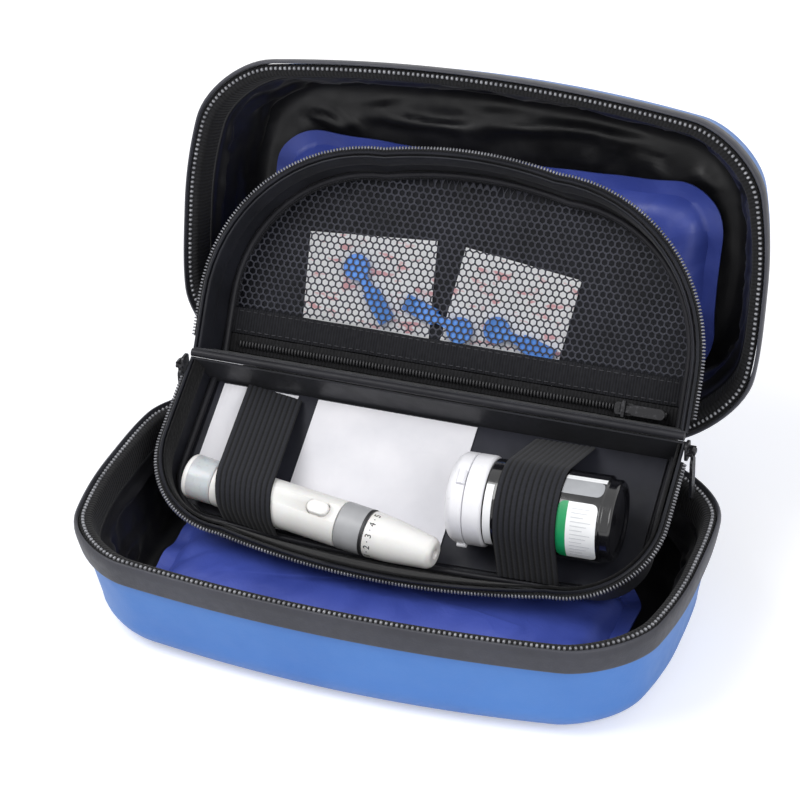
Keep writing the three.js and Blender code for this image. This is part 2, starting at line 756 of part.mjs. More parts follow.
// Elastic straps: each leans along the tray, and skews to follow the round piece below it
function addStrap(name, x, lean, slope, centreS, centreH, radius) {
  const shape = strapSection(centreS, centreH, radius);
  const sweep = { depth: strapWidth, bevelEnabled: false, curveSegments: 7 };
  const ribbon = new THREE.ExtrudeGeometry(shape, sweep);
  ribbon.translate(0, 0, -strapWidth / 2).rotateX(Math.PI / 2).rotateZ(-Math.PI / 2);
  ribbon.applyMatrix4(new THREE.Matrix4().set(
    1, -lean, 0, x - lean * centreS,
    -slope, 1, 0, 0,
    0, 0, 1, 0,
    0, 0, 0, 1,
  ));
  add(floorSurface, name, ribbon, elasticBlack);
}
const penSlope = (penTipS - penRearS) / penLength;
const bottleSlope = -Math.tan(degrees(bottleTurn));
const strapLeftS = penRearS + penSlope * strapOnPen;
const strapRightS = bottleS + bottleSlope * strapOnBottle;
addStrap(
  'strap_left', penRearX + strapOnPen, strapLeftLean, penSlope,
  strapLeftS, restHeight + penRadius, penRadius,
);
addStrap(
  'strap_right', bottleX + strapOnBottle, strapRightLean, bottleSlope,
  strapRightS, clearance + bottleCapRadius, bottleRadius,
);

// Rear leaf of the organiser, a deeper tray with the net pocket
const flap = group(assembly, 0, foldY, foldZ);
flap.rotation.x = degrees(flapTilt);
const flapFloorPath = leafPath(flapFloorHalfWidth, flapFloorDepth, flapFloorCorner, flapFloorBow, leafStart);
const flapRimPath = leafPath(rimHalfWidth, flapDepth, flapRimCorner, flapRimBow, leafStart);
const flapAt = leafPoints(flapFloorPath, flapRimPath, -flapHeight, 1);
leaf(flap, 'flap', flapAt, flapHeight);
const pipingHeight = flapHeight - netRecess + clearance + pipingDiameter / 2;
piping(flap, 'flap_piping', flapAt, flapHeight, pipingHeight);

// Diamond net across the rear leaf, with whole gaps only
const netHalfWidth = flapFloorHalfWidth - clearance;
function netOutline(inset) {
  const path = leafPath(
    netHalfWidth - inset, flapFloorDepth - clearance - inset,
    flapFloorCorner - inset, flapFloorBow, netStart + inset,
  );
  return path.map(([x, s]) => new THREE.Vector2(x, s));
}
function netPanel() {
  const border = netOutline(netHem);
  const a = meshWidth / 2;
  const b = meshHeight / 2;
  const shrink = 1 - (cordWidth / 2) * Math.hypot(a, b) / (a * b);
  const inside = (point) => border.every((from, i) => {
    const edge = border[(i + 1) % border.length].clone().sub(from);
    return edge.cross(point.clone().sub(from)) < 0;
  });
  const gaps = [];
  const columns = Math.ceil(netHalfWidth / meshWidth);
  const rows = Math.floor((flapFloorDepth - netStart) / b);
  for (let row = 1; row < rows; row++) {
    const s = netStart + netHem + row * b;
    for (let column = -columns; column <= columns; column++) {
      const x = (column + (row % 2) / 2) * meshWidth;
      const corners = [[a, 0], [0, b], [-a, 0], [0, -b]];
      const gap = corners.map(([u, v]) => new THREE.Vector2(x + u * shrink, s + v * shrink));
      if (gap.every(inside)) {
        gaps.push(plate(new THREE.Shape(gap), 3 * netThickness));
      }
    }
  }
  const openings = mergeGeometries(gaps).translate(0, 0, -netThickness);
  return cut(plate(new THREE.Shape(netOutline(0)), netThickness), openings);
}
const pocket = group(flap, 0, 0, -netRecess - netThickness);
add(pocket, 'pocket_net', netPanel(), blackNylon);
function pocketStrip(from, to, thickness) {
  const shape = roundedShape(2 * netHalfWidth, to - from, pocketBead / 2);
  return plate(shape, thickness).translate(0, (from + to) / 2, 0);
}
const tapeFrom = leafStart + clearance;
const tapeTo = bandStart - clearance;
const pocketZipS = (tapeFrom + tapeTo) / 2;
add(pocket, 'pocket_band', pocketStrip(bandStart, netStart - clearance, bandRise), wovenTape);
add(pocket, 'pocket_zip_tape', pocketStrip(tapeFrom, tapeTo, netThickness), wovenTape);
const teethZ = netThickness + clearance + pocketBead;
const teethLength = 2 * (netHalfWidth - pocketTeethInset);
const teethRod = new THREE.CylinderGeometry(pocketBead, pocketBead, teethLength, 8);
add(pocket, 'pocket_zip_teeth', teethRod.rotateZ(Math.PI / 2).translate(0, pocketZipS, teethZ), teethGrey);
const sliderPlace = [netHalfWidth - pocketSliderInset, pocketZipS, teethZ + pocketBead + clearance];
const sliderHolder = slider(pocket, 'pocket', sliderPlace, pocketSlider);
sliderHolder.rotation.x = Math.PI / 2;
sliderHolder.rotateY(-Math.PI / 2);

// Prep pads and lancets behind the net
const pocketFloor = group(flap, 0, 0, -flapHeight + clearance);
function inPocket(name, { xShare, sShare, turn }, z, geometry, material) {
  const holder = group(pocketFloor, xShare * flapFloorHalfWidth, sShare * flapFloorDepth, z);
  holder.rotation.z = degrees(turn);
  add(holder, name, geometry, material);
}
for (const [name, place] of Object.entries(pads)) {
  const width = place.widthShare * flapFloorHalfWidth;
  const outline = roundedShape(width, place.lengthShare * flapFloorDepth, padCorner);
  inPocket(name, place, 0, plate(outline, padThickness), whitePaper);
}
function lancetShape() {
  const shape = new THREE.Shape();
  const headX = -lancetNeckLength;
  const opening = Math.asin(lancetNeck / lancetHead);
  shape.absarc(headX, 0, lancetHead, opening, 2 * Math.PI - opening);
  shape.lineTo(0, -lancetNeck);
  shape.lineTo(0, -lancetBody);
  shape.lineTo(lancetBodyLength, -lancetBody);
  shape.lineTo(lancetBodyLength, lancetBody);
  shape.lineTo(0, lancetBody);
  shape.lineTo(0, lancetNeck);
  return shape;
}
for (const [name, place] of Object.entries(lancets)) {
  inPocket(name, place, padThickness + clearance, plate(lancetShape(), lancetThickness), lancetBlue);
}

export default assembly;
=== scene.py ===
import json
import math

import bmesh
import bpy
import numpy as np
from mathutils import Matrix, Vector

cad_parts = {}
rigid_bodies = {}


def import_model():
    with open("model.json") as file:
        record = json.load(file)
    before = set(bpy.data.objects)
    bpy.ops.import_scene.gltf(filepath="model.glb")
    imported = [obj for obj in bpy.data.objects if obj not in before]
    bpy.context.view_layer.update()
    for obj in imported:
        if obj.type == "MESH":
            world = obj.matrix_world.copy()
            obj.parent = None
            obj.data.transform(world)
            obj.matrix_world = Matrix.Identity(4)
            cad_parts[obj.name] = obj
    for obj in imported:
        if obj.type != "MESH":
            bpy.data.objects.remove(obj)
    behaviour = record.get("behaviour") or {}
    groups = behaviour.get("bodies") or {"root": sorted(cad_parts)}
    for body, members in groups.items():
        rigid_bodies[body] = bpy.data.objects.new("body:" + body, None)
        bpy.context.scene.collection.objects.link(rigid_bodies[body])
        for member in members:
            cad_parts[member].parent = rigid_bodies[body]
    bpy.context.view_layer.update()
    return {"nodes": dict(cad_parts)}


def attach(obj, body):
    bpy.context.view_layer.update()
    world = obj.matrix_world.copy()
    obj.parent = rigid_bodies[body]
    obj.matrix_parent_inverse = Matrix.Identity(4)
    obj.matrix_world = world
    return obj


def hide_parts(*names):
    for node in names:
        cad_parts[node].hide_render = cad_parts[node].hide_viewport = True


for leftover in list(bpy.data.objects):
    bpy.data.objects.remove(leftover)
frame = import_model()
scene = bpy.context.scene
scene.view_settings.view_transform = "Standard"

# Case, in millimetres and degrees as in the CAD source
CASE_LENGTH, CASE_DEPTH, SHELL_HEIGHT, LID_ANGLE = 206, 116.5, 41, 104
CORNER_RADIUS, SIDE_BOW, FRONT_BOW = 20, 9.4, 8
SHELL_WALL, EDGE_ROUND, WALL_DRAFT = 3.2, 12, 4.4
BAND_HEIGHT, BAND_THICKNESS, LINING_THICKNESS, STRIP_THICKNESS = 10, 1.2, 0.8, 0.8
GAP = 0.3
BEAD_RADIUS = 1.1
TAPE_THICKNESS, TAPE_HEIGHT, LEAF_TAPE_HEIGHT = 0.8, 7, 6.5
SHELL_TOP = SHELL_HEIGHT - GAP * 1.5 - 2 * BEAD_RADIUS
BEAD_Z = SHELL_HEIGHT - GAP / 2 - BEAD_RADIUS
TAPE_FOOT = SHELL_TOP - TAPE_HEIGHT
INNER_OFFSET = SHELL_WALL + GAP
CAVITY_OFFSET = INNER_OFFSET + LINING_THICKNESS
HINGE_Y = CASE_DEPTH / 2 + BAND_THICKNESS + 2 * GAP + STRIP_THICKNESS
PACK_LENGTH, PACK_DEPTH, PACK_THICKNESS, PACK_CORNER, PACK_WAIST = 168, 72, 14, 20, 2.5
WELD_WIDTH, WELD_HALF, WELD_LEVEL = 5, 0.4, 0.42
PACK_SHIFT = {"base": -8, "lid": -10}
PACK_SEED = {"base": 3, "lid": 5}

# Organiser leaves, measured from the fold line along the leaf
FOLD_Y, FOLD_Z, TRAY_TILT, FLAP_TILT, CORD_RADIUS = 39.6, 62.982, 30, 58, 1.4
LEAF_WALL, LEAF_START, LEAF_GAP, RIM_HALF_WIDTH = 1, 1.8, 1.5, 88
TRAY_FLOOR_HALF, TRAY_FLOOR_DEPTH, TRAY_DEPTH, TRAY_HEIGHT = 84.1, 57, 68.5, 16
TRAY_FLOOR_CORNER, TRAY_FLOOR_BOW, TRAY_RIM_CORNER, TRAY_RIM_BOW = 17, 2, 32, 6.5
FLAP_FLOOR_HALF, FLAP_FLOOR_DEPTH, FLAP_DEPTH, FLAP_HEIGHT = 82, 74, 80.6, 21.6
FLAP_FLOOR_CORNER, FLAP_FLOOR_BOW, FLAP_RIM_CORNER, FLAP_RIM_BOW = 48, 4, 58, 3
BOARD_THICKNESS = 0.8
FLOOR_TOP = -TRAY_HEIGHT + GAP + BOARD_THICKNESS
NET_FRONT, NET_START, NET_HALF, NET_THICKNESS = -17.5, 18, 81.7, 0.6
NET_BACK = NET_FRONT - NET_THICKNESS
BAND_START, BAND_RISE, HEM_RADIUS, HEM_FLATNESS = 8.7, 1, 0.9, 0.5
POCKET_TAPE_RISE, POCKET_TEETH_RISE, POCKET_TEETH_INSET = 0.6, 1.6, 4
SEAM_INSET, SEAM_END, SEAM_RISE = 1.1, 1.5, 1.05

# Straps and supplies
STRAP_WIDTH, STRAP_THICKNESS, STRAP_RIBS = 21, 0.9, 11
STRAP_BACK_INSET, STRAP_FRONT_INSET, STRAP_ON_PEN, STRAP_ON_BOTTLE = 1.7, 2.2, 23.25, 27.9
LEFT_LEAN, RIGHT_LEAN = 0.16, 0.03
SACHET_THICKNESS, PAD_THICKNESS, LANCET_THICKNESS = 0.5, 0.6, 1.9
PEN_LENGTH, PEN_RADIUS, PEN_BORE, PEN_REAR_X, PEN_REAR_S, PEN_TIP_S = 93, 8, 5.3, -75.7, 43, 55
PEN_LIFT = 2 * GAP + SACHET_THICKNESS
PEN_SLOPE = (PEN_TIP_S - PEN_REAR_S) / PEN_LENGTH
BOTTLE_LENGTH, BOTTLE_RADIUS, BOTTLE_X, BOTTLE_S, BOTTLE_TURN = 56, 14.5, 19.1, 35.7, 1.5
CAP_RADIUS, CAP_LENGTH, CAP_WALL, COLLAR_LENGTH = 15.2, 6.6, 1.4, 6.3

# Zip teeth: pitch, and length x width x height of a tooth
CASE_TEETH = 1.72, (0.95, 1.3, 1.7)
LEAF_TEETH = 1.12, (0.66, 1.5, 1.7)
POCKET_TEETH = 1.15, (0.75, 2.6, 1.5)
STITCHES = 2.6, (1.7, 0.32, 0.32)

MERGE_DISTANCE = 2e-6
UP = (0, 0, 1)


def shift(x, y, z):
    return Matrix.Translation((x, y, z))


def turn(degrees, axis):
    return Matrix.Rotation(math.radians(degrees), 4, axis)


BASE = Matrix.Identity(4)
LID = (
    shift(0, HINGE_Y, SHELL_HEIGHT) @ turn(-LID_ANGLE, "X") @ shift(0, -HINGE_Y, SHELL_HEIGHT)
    @ turn(180, "X")
)
TRAY = shift(0, FOLD_Y, FOLD_Z) @ turn(TRAY_TILT, "X")
FLAP = shift(0, FOLD_Y, FOLD_Z) @ turn(FLAP_TILT, "X")
PEN = (
    TRAY @ shift(PEN_REAR_X, -PEN_REAR_S, FLOOR_TOP + PEN_LIFT + PEN_RADIUS)
    @ turn(-math.degrees(math.asin(PEN_SLOPE)), "Z")
)
BOTTLE = TRAY @ shift(BOTTLE_X, -BOTTLE_S, FLOOR_TOP + GAP + CAP_RADIUS) @ turn(BOTTLE_TURN, "Z")


# Lines and fields of points
def xyz(x, y, z):
    """Points from coordinates that are arrays or single values."""
    return np.stack(np.broadcast_arrays(x, y, z), -1)


def unit(vectors):
    return vectors / np.linalg.norm(vectors, axis=-1, keepdims=True)


def headings(line):
    """The way a line runs at each of its points."""
    return np.vstack([line[1:2] - line[:1], line[2:] - line[:-2], line[-1:] - line[-2:-1]])


def path_length(line):
    """Length along a line up to each of its points."""
    return np.concatenate([[0], np.cumsum(np.linalg.norm(np.diff(line, axis=0), axis=1))])


def ripples(points, wavelength, seed, count=9):
    """Smooth random field, about -1 to 1."""
    rng = np.random.default_rng(seed)
    points = np.asarray(points, float)
    total = np.zeros(points.shape[:-1])
    for _ in range(count):
        way = rng.normal(size=points.shape[-1])
        way /= np.linalg.norm(way)
        length = wavelength * rng.uniform(0.7, 1.6)
        total += np.sin(2 * np.pi * (points @ way) / length + rng.uniform(0, 2 * np.pi))
    return total / math.sqrt(count)


def creases(points, wavelength, seed, sharp=0.3):
    """Narrow ridges, 0 to 1, that wander over the surface."""
    return np.exp(-(ripples(points, wavelength, seed) / sharp) ** 2)


def smoothstep(x, low, high):
    t = np.clip((np.asarray(x, float) - low) / (high - low), 0, 1)
    return t * t * (3 - 2 * t)


def rounded(section, rounds=2):
    """Closed section with its corners cut ever finer."""
    p = np.asarray(section, float)
    for _ in range(rounds):
        q = np.roll(p, -1, axis=0)
        p = np.stack([0.75 * p + 0.25 * q, 0.25 * p + 0.75 * q], 1).reshape(-1, p.shape[1])
    return p


def circle(radius, sides):
    a = 2 * np.pi * np.arange(sides) / sides
    return np.stack([radius * np.cos(a), radius * np.sin(a)], -1)


def rounded_loop(half_x, half_y, radius, corner=14, side=22):
    """Rectangle with round corners, with points along its sides too."""
    centres = np.array([(1, -1), (1, 1), (-1, 1), (-1, -1)]) * (half_x - radius, half_y - radius)
    along_side = (np.arange(1, side) / side)[:, None]
    loop = []
    for k in range(4):
        a = (k - 1 + np.arange(corner + 1) / corner) * np.pi / 2
        arc = centres[k] + radius * np.stack([np.cos(a), np.sin(a)], -1)
        following = centres[(k + 1) % 4] + (arc[-1] - centres[k])
        loop += [arc, arc[-1] * (1 - along_side) + following * along_side]
    return np.vstack(loop)


def resample(line, pitch, closed=False, nearby=0.3):
    """Points at an even pitch along a line, with the directions there."""
    line = np.vstack([line, line[:1]]) if closed else np.asarray(line)
    along = path_length(line)
    count = int(along[-1] / pitch)
    at = (np.arange(count) + 0.5) * along[-1] / count

    def sample(t):
        return xyz(*(np.interp(t, along, line[:, k]) for k in range(3)))

    return sample(at), unit(sample(at + nearby) - sample(at - nearby))


# Surfaces of faces in millimetres, with UVs in metres
class Surface:
    def __init__(self):
        self.points, self.faces, self.uvs = [], [], []
        self.count = 0

    def grid(self, rows, wrap_rows=False, wrap_cols=False):
        p = np.asarray(rows, float)
        height, width = p.shape[:2]
        middle_lines = p[height // 2], p[:, width // 2]
        u, v = (path_length(np.vstack([line, line[:1]])) / 1000 for line in middle_lines)
        r, c = np.meshgrid(
            np.arange(height - (not wrap_rows)), np.arange(width - (not wrap_cols)), indexing="ij"
        )
        r, c = r.ravel(), c.ravel()
        r1, c1 = (r + 1) % height, (c + 1) % width
        quads = np.stack([r * width + c, r * width + c1, r1 * width + c1, r1 * width + c], -1)
        corners = [u[c], v[r], u[c + 1], v[r], u[c + 1], v[r + 1], u[c], v[r + 1]]
        self.points.append(p.reshape(-1, 3))
        self.faces += (quads + self.count).tolist()
        self.uvs += np.stack(corners, -1).tolist()
        self.count += height * width
        return self

    def polygons(self, points, faces, flat=None):
        """Faces whose UVs are X and Y of the points, or of their places on a flat sheet."""
        flat = points if flat is None else flat
        self.points.append(points)
        for face in faces:
            self.faces.append([self.count + i for i in face])
            self.uvs.append((flat[face, :2] / 1000).ravel().tolist())
        self.count += len(points)
        return self

    def fan(self, ring):
        size = len(ring)
        around = [[i, (i + 1) % size, size] for i in range(size)]
        return self.polygons(np.vstack([ring, np.mean(ring, axis=0)]), around)

    def cap(self, ring, steps=8, height=None):
        """Fills a ring with ever smaller rings down to its middle, lifted by a field of heights."""
        middle = np.mean(ring, axis=0)
        shares = np.linspace(1, 0.04, steps)
        rows = [middle + (ring - middle) * share for share in shares]
        if height is not None:
            for row, share in zip(rows, shares):
                row[:, 2] += height(row[:, :2], share)
        return self.grid(rows, wrap_cols=True).fan(rows[-1])

    def add(self, other):
        self.faces += [[i + self.count for i in face] for face in other.faces]
        self.points += other.points
        self.uvs += other.uvs
        self.count += other.count


def loft(lines):
    """Closed skin over lines that run side by side round a section."""
    surface = Surface().grid(lines, wrap_rows=True)
    for end in (0, -1):
        surface.fan(np.array([line[end] for line in lines]))
    return surface


def tube(line, radius, sides, flat=1.0, up=UP):
    """Round or flattened cord along a line."""
    line = np.asarray(line, float)
    along = unit(headings(line))
    across = unit(np.cross(along, up))
    raised = np.cross(across, along)
    return loft([line + across * u + raised * v * flat for u, v in circle(radius, sides)])


def plate(low, high):
    """Closed plate between two grids of points."""
    surface = Surface().grid(high).grid(low[:, ::-1])
    for pick in (np.s_[0, :], np.s_[-1, :], np.s_[:, 0], np.s_[:, -1]):
        surface.grid([low[pick], high[pick]])
    return surface


def tooth_row(line, teeth, up=UP, closed=False):
    """Rounded teeth at an even pitch, standing across a line; up is one way or one per line point."""
    pitch, size = teeth
    centres, along = resample(line, pitch, closed)
    if np.ndim(up) > 1:
        spread = np.linspace(0, len(line) - 1, len(centres))
        up = xyz(*(np.interp(spread, np.arange(len(line)), up[:, k]) for k in range(3)))
    across = unit(np.cross(along, up))
    h, t = np.meshgrid(np.linspace(-np.pi / 2, np.pi / 2, 6), np.pi / 4 * np.arange(8), indexing="ij")
    taper = np.abs(np.cos(h)) ** 0.5
    x, y = (np.sign(wave) * np.abs(wave) ** 0.6 * taper for wave in (np.cos(t), np.sin(t)))
    shape = xyz(x, y, np.sin(h)) * size / 2
    surface = Surface()
    for centre, axes in zip(centres, np.stack([along, across, np.cross(across, along)], 1)):
        surface.grid(centre + shape @ axes, wrap_cols=True)
    return surface


def build(name, surface, matrix, body, material, node=None, angle=40, thickness=0, smooth=True):
    m = np.array(matrix)
    points = (np.vstack(surface.points) @ m[:3, :3].T + m[:3, 3]) / 1000
    mesh = bpy.data.meshes.new(name)
    mesh.from_pydata(points.tolist(), [], surface.faces)
    layer = mesh.uv_layers.new(name="UVMap")
    layer.data.foreach_set("uv", np.concatenate([np.asarray(uv, float) for uv in surface.uvs]))
    work = bmesh.new()
    work.from_mesh(mesh)
    bmesh.ops.remove_doubles(work, verts=work.verts, dist=MERGE_DISTANCE)
    bmesh.ops.dissolve_degenerate(work, edges=work.edges, dist=MERGE_DISTANCE / 2)
    bmesh.ops.recalc_face_normals(work, faces=work.faces)
    work.to_mesh(mesh)
    work.free()
    if smooth:
        mesh.shade_smooth()
        mesh.set_sharp_from_angle(angle=math.radians(angle))
    mesh.materials.append(material)
    obj = bpy.data.objects.new(name, mesh)
    scene.collection.objects.link(obj)
    if thickness:
        solid = obj.modifiers.new("thickness", "SOLIDIFY")
        solid.thickness, solid.offset = abs(thickness) / 1000, -math.copysign(1, thickness)
    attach(obj, body)
    if node:
        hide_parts(node)
    return obj


# Finishes
class Nodes:
    """Adds nodes to a tree; each input is a value or the socket that feeds it."""

    def __init__(self, tree):
        self.tree = tree

    def feed(self, socket, value):
        if isinstance(value, bpy.types.NodeSocket):
            self.tree.links.new(value, socket)
        else:
            socket.default_value = value

    def node(self, kind, inputs=(), **settings):
        node = self.tree.nodes.new(kind)
        for key, value in settings.items():
            setattr(node, key, value)
        for key, value in dict(inputs).items():
            self.feed(node.inputs[key], value)
        return node

    def maths(self, operation, a, b):
        return self.node("ShaderNodeMath", {0: a, 1: b}, operation=operation).outputs[0]

    def between(self, factor, low, high, start=0.3, end=0.7):
        ends = {"From Min": start, "From Max": end, "To Min": low, "To Max": high}
        return self.node("ShaderNodeMapRange", {"Value": factor, **ends}).outputs["Result"]


class Finish(Nodes):
    """A procedural material: colour, roughness and relief from nodes; its slot argument is not used."""

    def __init__(self, name, slot=None, **sockets):
        self.material = bpy.data.materials.new(name)
        self.material.use_nodes = True
        super().__init__(self.material.node_tree)
        self.shader = self.tree.nodes["Principled BSDF"].inputs
        self.coords = self.node("ShaderNodeTexCoord").outputs
        self.normal = None
        for key, value in sockets.items():
            self.shader[key.replace("_", " ")].default_value = value

    def noise(self, size, detail=3, stretch=(1, 1, 1), distortion=0):
        """Noise whose blotches are about size millimetres across."""
        mapping = self.node("ShaderNodeMapping", {"Vector": self.coords["Object"], "Scale": stretch})
        return self.node("ShaderNodeTexNoise", {
            "Vector": mapping.outputs[0], "Scale": 1000 / size, "Detail": detail, "Distortion": distortion,
        }).outputs["Fac"]

    def cells(self, size, space="Object"):
        inputs = {"Vector": self.coords[space], "Scale": 1000 / size}
        return self.node("ShaderNodeTexVoronoi", inputs).outputs["Distance"]

    def waves(self, size, axis, distortion=0, bands_at_scale_1=3.1831):
        """Bands that repeat after size millimetres."""
        scale = 1000 / size / bands_at_scale_1
        inputs = {"Vector": self.coords["UV"], "Scale": scale, "Distortion": distortion}
        return self.node("ShaderNodeTexWave", inputs, wave_type="BANDS", bands_direction=axis).outputs["Fac"]

    def mix(self, factor, first, second):
        return self.node("ShaderNodeMix", {0: factor, 6: first, 7: second}, data_type="RGBA").outputs[2]

    def paint(self, color):
        self.feed(self.shader["Base Color"], color)

    def color(self, factor, first, second, start=0.3, end=0.7):
        self.paint(self.mix(self.between(factor, 0, 1, start, end), rgb(first), rgb(second)))

    def rough(self, factor, low, high):
        self.feed(self.shader["Roughness"], self.between(factor, low, high))

    def relief(self, height, depth, strength):
        """Adds bump of a depth in millimetres."""
        bump = self.node("ShaderNodeBump", {"Height": height, "Strength": strength, "Distance": depth / 1000})
        if self.normal:
            self.feed(bump.inputs["Normal"], self.normal)
        self.normal = bump.outputs["Normal"]
        self.feed(self.shader["Normal"], self.normal)


def rgb(color):
    """Linear colour from 0-255 screen values."""
    def linear(v):
        v /= 255
        return v / 12.92 if v <= 0.04045 else ((v + 0.055) / 1.055) ** 2.4
    return (*[linear(v) for v in color], 1)


def shell_finish():
    f = Finish("moulded_blue", "shell_blue", Sheen_Weight=0.08, Sheen_Roughness=0.5)
    f.color(f.noise(45, 4), (58, 112, 186), (70, 124, 196))
    f.rough(f.noise(6, 4), 0.42, 0.55)
    f.relief(f.cells(0.9), 0.05, 0.5)
    f.relief(f.noise(14, 3), 0.25, 0.35)
    return f.material


def band_finish():
    f = Finish("band_grey", "band_grey", Sheen_Weight=0.1, Sheen_Roughness=0.5)
    f.color(f.noise(30, 4), (40, 41, 49), (52, 53, 62))
    f.rough(f.noise(3, 4), 0.5, 0.66)
    f.relief(f.cells(0.8), 0.07, 0.55)
    f.relief(f.noise(9, 2), 0.2, 0.3)
    return f.material


def nylon_finish(name, dark, light, roughness, crease=0.5, specular=0.2):
    f = Finish(name, "nylon_black", Sheen_Weight=0.07, Sheen_Roughness=0.4, Specular_IOR_Level=specular)
    f.color(f.noise(16, 4), dark, light)
    f.rough(f.noise(5, 3), roughness - 0.06, roughness + 0.08)
    weave = f.maths("MULTIPLY", f.noise(0.5, 1, stretch=(1, 3, 3)), f.noise(0.5, 1, stretch=(3, 1, 1)))
    f.relief(weave, 0.05, 0.4)
    f.relief(f.noise(22, 2, distortion=0.4), crease, 0.5)
    return f.material


def tape_finish(name, dark, light, pitch=1.3):
    f = Finish(name, "tape_black", Sheen_Weight=0.06, Sheen_Roughness=0.6, Specular_IOR_Level=0.2)
    ribs = f.waves(pitch, "X", distortion=0.6)
    f.color(ribs, dark, light, 0.1, 0.9)
    f.rough(f.noise(1.5, 3), 0.7, 0.9)
    f.relief(ribs, 0.22, 0.7)
    f.relief(f.noise(0.7, 2), 0.08, 0.5)
    return f.material


def felt_finish():
    f = Finish("knit_black", "tape_black", Sheen_Weight=0.08, Sheen_Roughness=0.6, Specular_IOR_Level=0.15)
    knit = f.cells(1.1, space="UV")
    f.color(knit, (14, 14, 17), (5, 5, 7), 0.1, 0.6)
    f.rough(f.noise(1.2, 3), 0.75, 0.95)
    f.relief(knit, 0.2, 0.6)
    f.relief(f.noise(5, 3), 0.3, 0.4)
    return f.material


def plain_finish(name, slot, dark, light, roughness, grain=0.04, size=0.7, **sockets):
    f = Finish(name, slot, **sockets)
    f.color(f.noise(9, 4), dark, light)
    f.rough(f.noise(2.5, 4), roughness - 0.05, roughness + 0.07)
    f.relief(f.noise(size, 3), grain, 0.4)
    return f.material


def film_finish():
    f = Finish("gel_film", "gel_blue", Coat_Weight=0.1, Coat_Roughness=0.35, Specular_IOR_Level=0.4)
    f.color(f.noise(28, 5, distortion=0.8), (52, 67, 146), (68, 85, 173))
    f.rough(f.noise(7, 4), 0.38, 0.54)
    f.relief(f.noise(11, 4, distortion=1.5), 0.7, 0.5)
    f.relief(f.noise(1.1, 2), 0.05, 0.4)
    return f.material


def elastic_finish():
    sheen = {"Sheen_Weight": 0.07, "Sheen_Roughness": 0.6}
    f = Finish("elastic_weave", "elastic_black", Specular_IOR_Level=0.2, **sheen)
    ribs = f.waves(1.985, "Y")
    f.color(ribs, (4, 4, 5), (32, 33, 39), 0.02, 0.5)
    f.rough(f.noise(0.8, 3), 0.72, 0.92)
    f.relief(ribs, 0.12, 0.6)
    f.relief(f.noise(0.6, 2), 0.06, 0.5)
    return f.material


def paper_finish(name, dark, light, print_color=None):
    f = Finish(name, "paper_white", Specular_IOR_Level=0.35)
    ground = f.mix(f.between(f.noise(22, 4), 0, 1), rgb(dark), rgb(light))
    if print_color:
        spots = f.noise(7, 2, stretch=(1, 2.5, 2.5))
        ground = f.mix(f.between(spots, 0, 0.75, 0.58, 0.66), ground, rgb(print_color))
    f.paint(ground)
    f.rough(f.noise(3, 3), 0.5, 0.7)
    f.relief(f.noise(9, 4, distortion=1.5), 0.35, 0.45)
    f.relief(f.noise(0.6, 2), 0.04, 0.4)
    return f.material


def slider_finish():
    f = Finish("slider_enamel", Metallic=0.35)
    f.color(f.noise(1.6, 5), (30, 30, 33), (70, 70, 74), 0.56, 0.72)
    f.rough(f.noise(0.8, 3), 0.3, 0.5)
    f.relief(f.noise(0.5, 2), 0.04, 0.4)
    return f.material


blue_shell = shell_finish()
grey_band = band_finish()
lining_nylon = nylon_finish("lining_nylon", (17, 17, 20), (27, 27, 31), 0.38, 1.2, 0.45)
leaf_nylon = nylon_finish("leaf_nylon", (21, 22, 27), (32, 33, 40), 0.44)
cord_nylon = nylon_finish("cord_nylon", (27, 27, 31), (38, 38, 43), 0.44, 0.3)
net_nylon = nylon_finish("net_nylon", (42, 43, 50), (58, 59, 68), 0.5, 0.2)
board_nylon = nylon_finish("board_nylon", (26, 27, 33), (40, 41, 50), 0.5, 0.4)
zip_tape = tape_finish("zip_tape", (9, 9, 11), (20, 20, 23))
knit_tape = felt_finish()
band_weave = tape_finish("band_weave", (10, 10, 14), (22, 23, 29), 1.0)
teeth_silver = plain_finish(
    "teeth_silver", "teeth_grey", (108, 109, 114), (156, 157, 162), 0.36, Metallic=0.3
)
teeth_grey = plain_finish("teeth_grey", "teeth_grey", (92, 93, 98), (140, 141, 146), 0.36, Metallic=0.3)
gel_film = film_finish()
elastic_rib = elastic_finish()
white_paper = paper_finish("sachet_paper", (212, 212, 218), (226, 225, 230))
pad_paper = paper_finish("pad_paper", (240, 240, 243), (250, 250, 252), (222, 140, 148))
cream_plastic = plain_finish(
    "cream_plastic", "plastic_white", (234, 229, 226), (242, 238, 235), 0.36, 0.02,
    Subsurface_Weight=0.08, Coat_Weight=0.15,
)
cap_plastic = plain_finish(
    "cap_plastic", "plastic_white", (232, 232, 237), (240, 240, 244), 0.32, 0.02, Coat_Weight=0.2
)
grey_plastic = plain_finish("grey_plastic", "plastic_grey", (150, 151, 154), (166, 167, 170), 0.4, 0.03)
clear_plastic = plain_finish(
    "clear_plastic", "plastic_grey", (186, 188, 192), (200, 202, 206), 0.3, 0.02,
    Subsurface_Weight=0.2, Coat_Weight=0.2,
)
black_plastic = plain_finish(
    "black_plastic", "plastic_black", (14, 14, 17), (22, 22, 26), 0.16, 0.01, Coat_Weight=0.6
)
dark_line = plain_finish("dark_line", "plastic_black", (24, 24, 26), (38, 38, 41), 0.5)
lancet_blue = plain_finish(
    "lancet_blue", "lancet_blue", (70, 126, 210), (88, 144, 222), 0.36, 0.03, Subsurface_Weight=0.1
)
label_white = plain_finish("label_white", "paper_white", (232, 234, 236), (242, 243, 245), 0.4, 0.03)
label_grey = plain_finish("label_grey", "paper_white", (150, 152, 156), (172, 174, 178), 0.4, 0.03)
label_print = plain_finish("label_print", "paper_white", (196, 198, 202), (208, 210, 214), 0.45, 0.02)
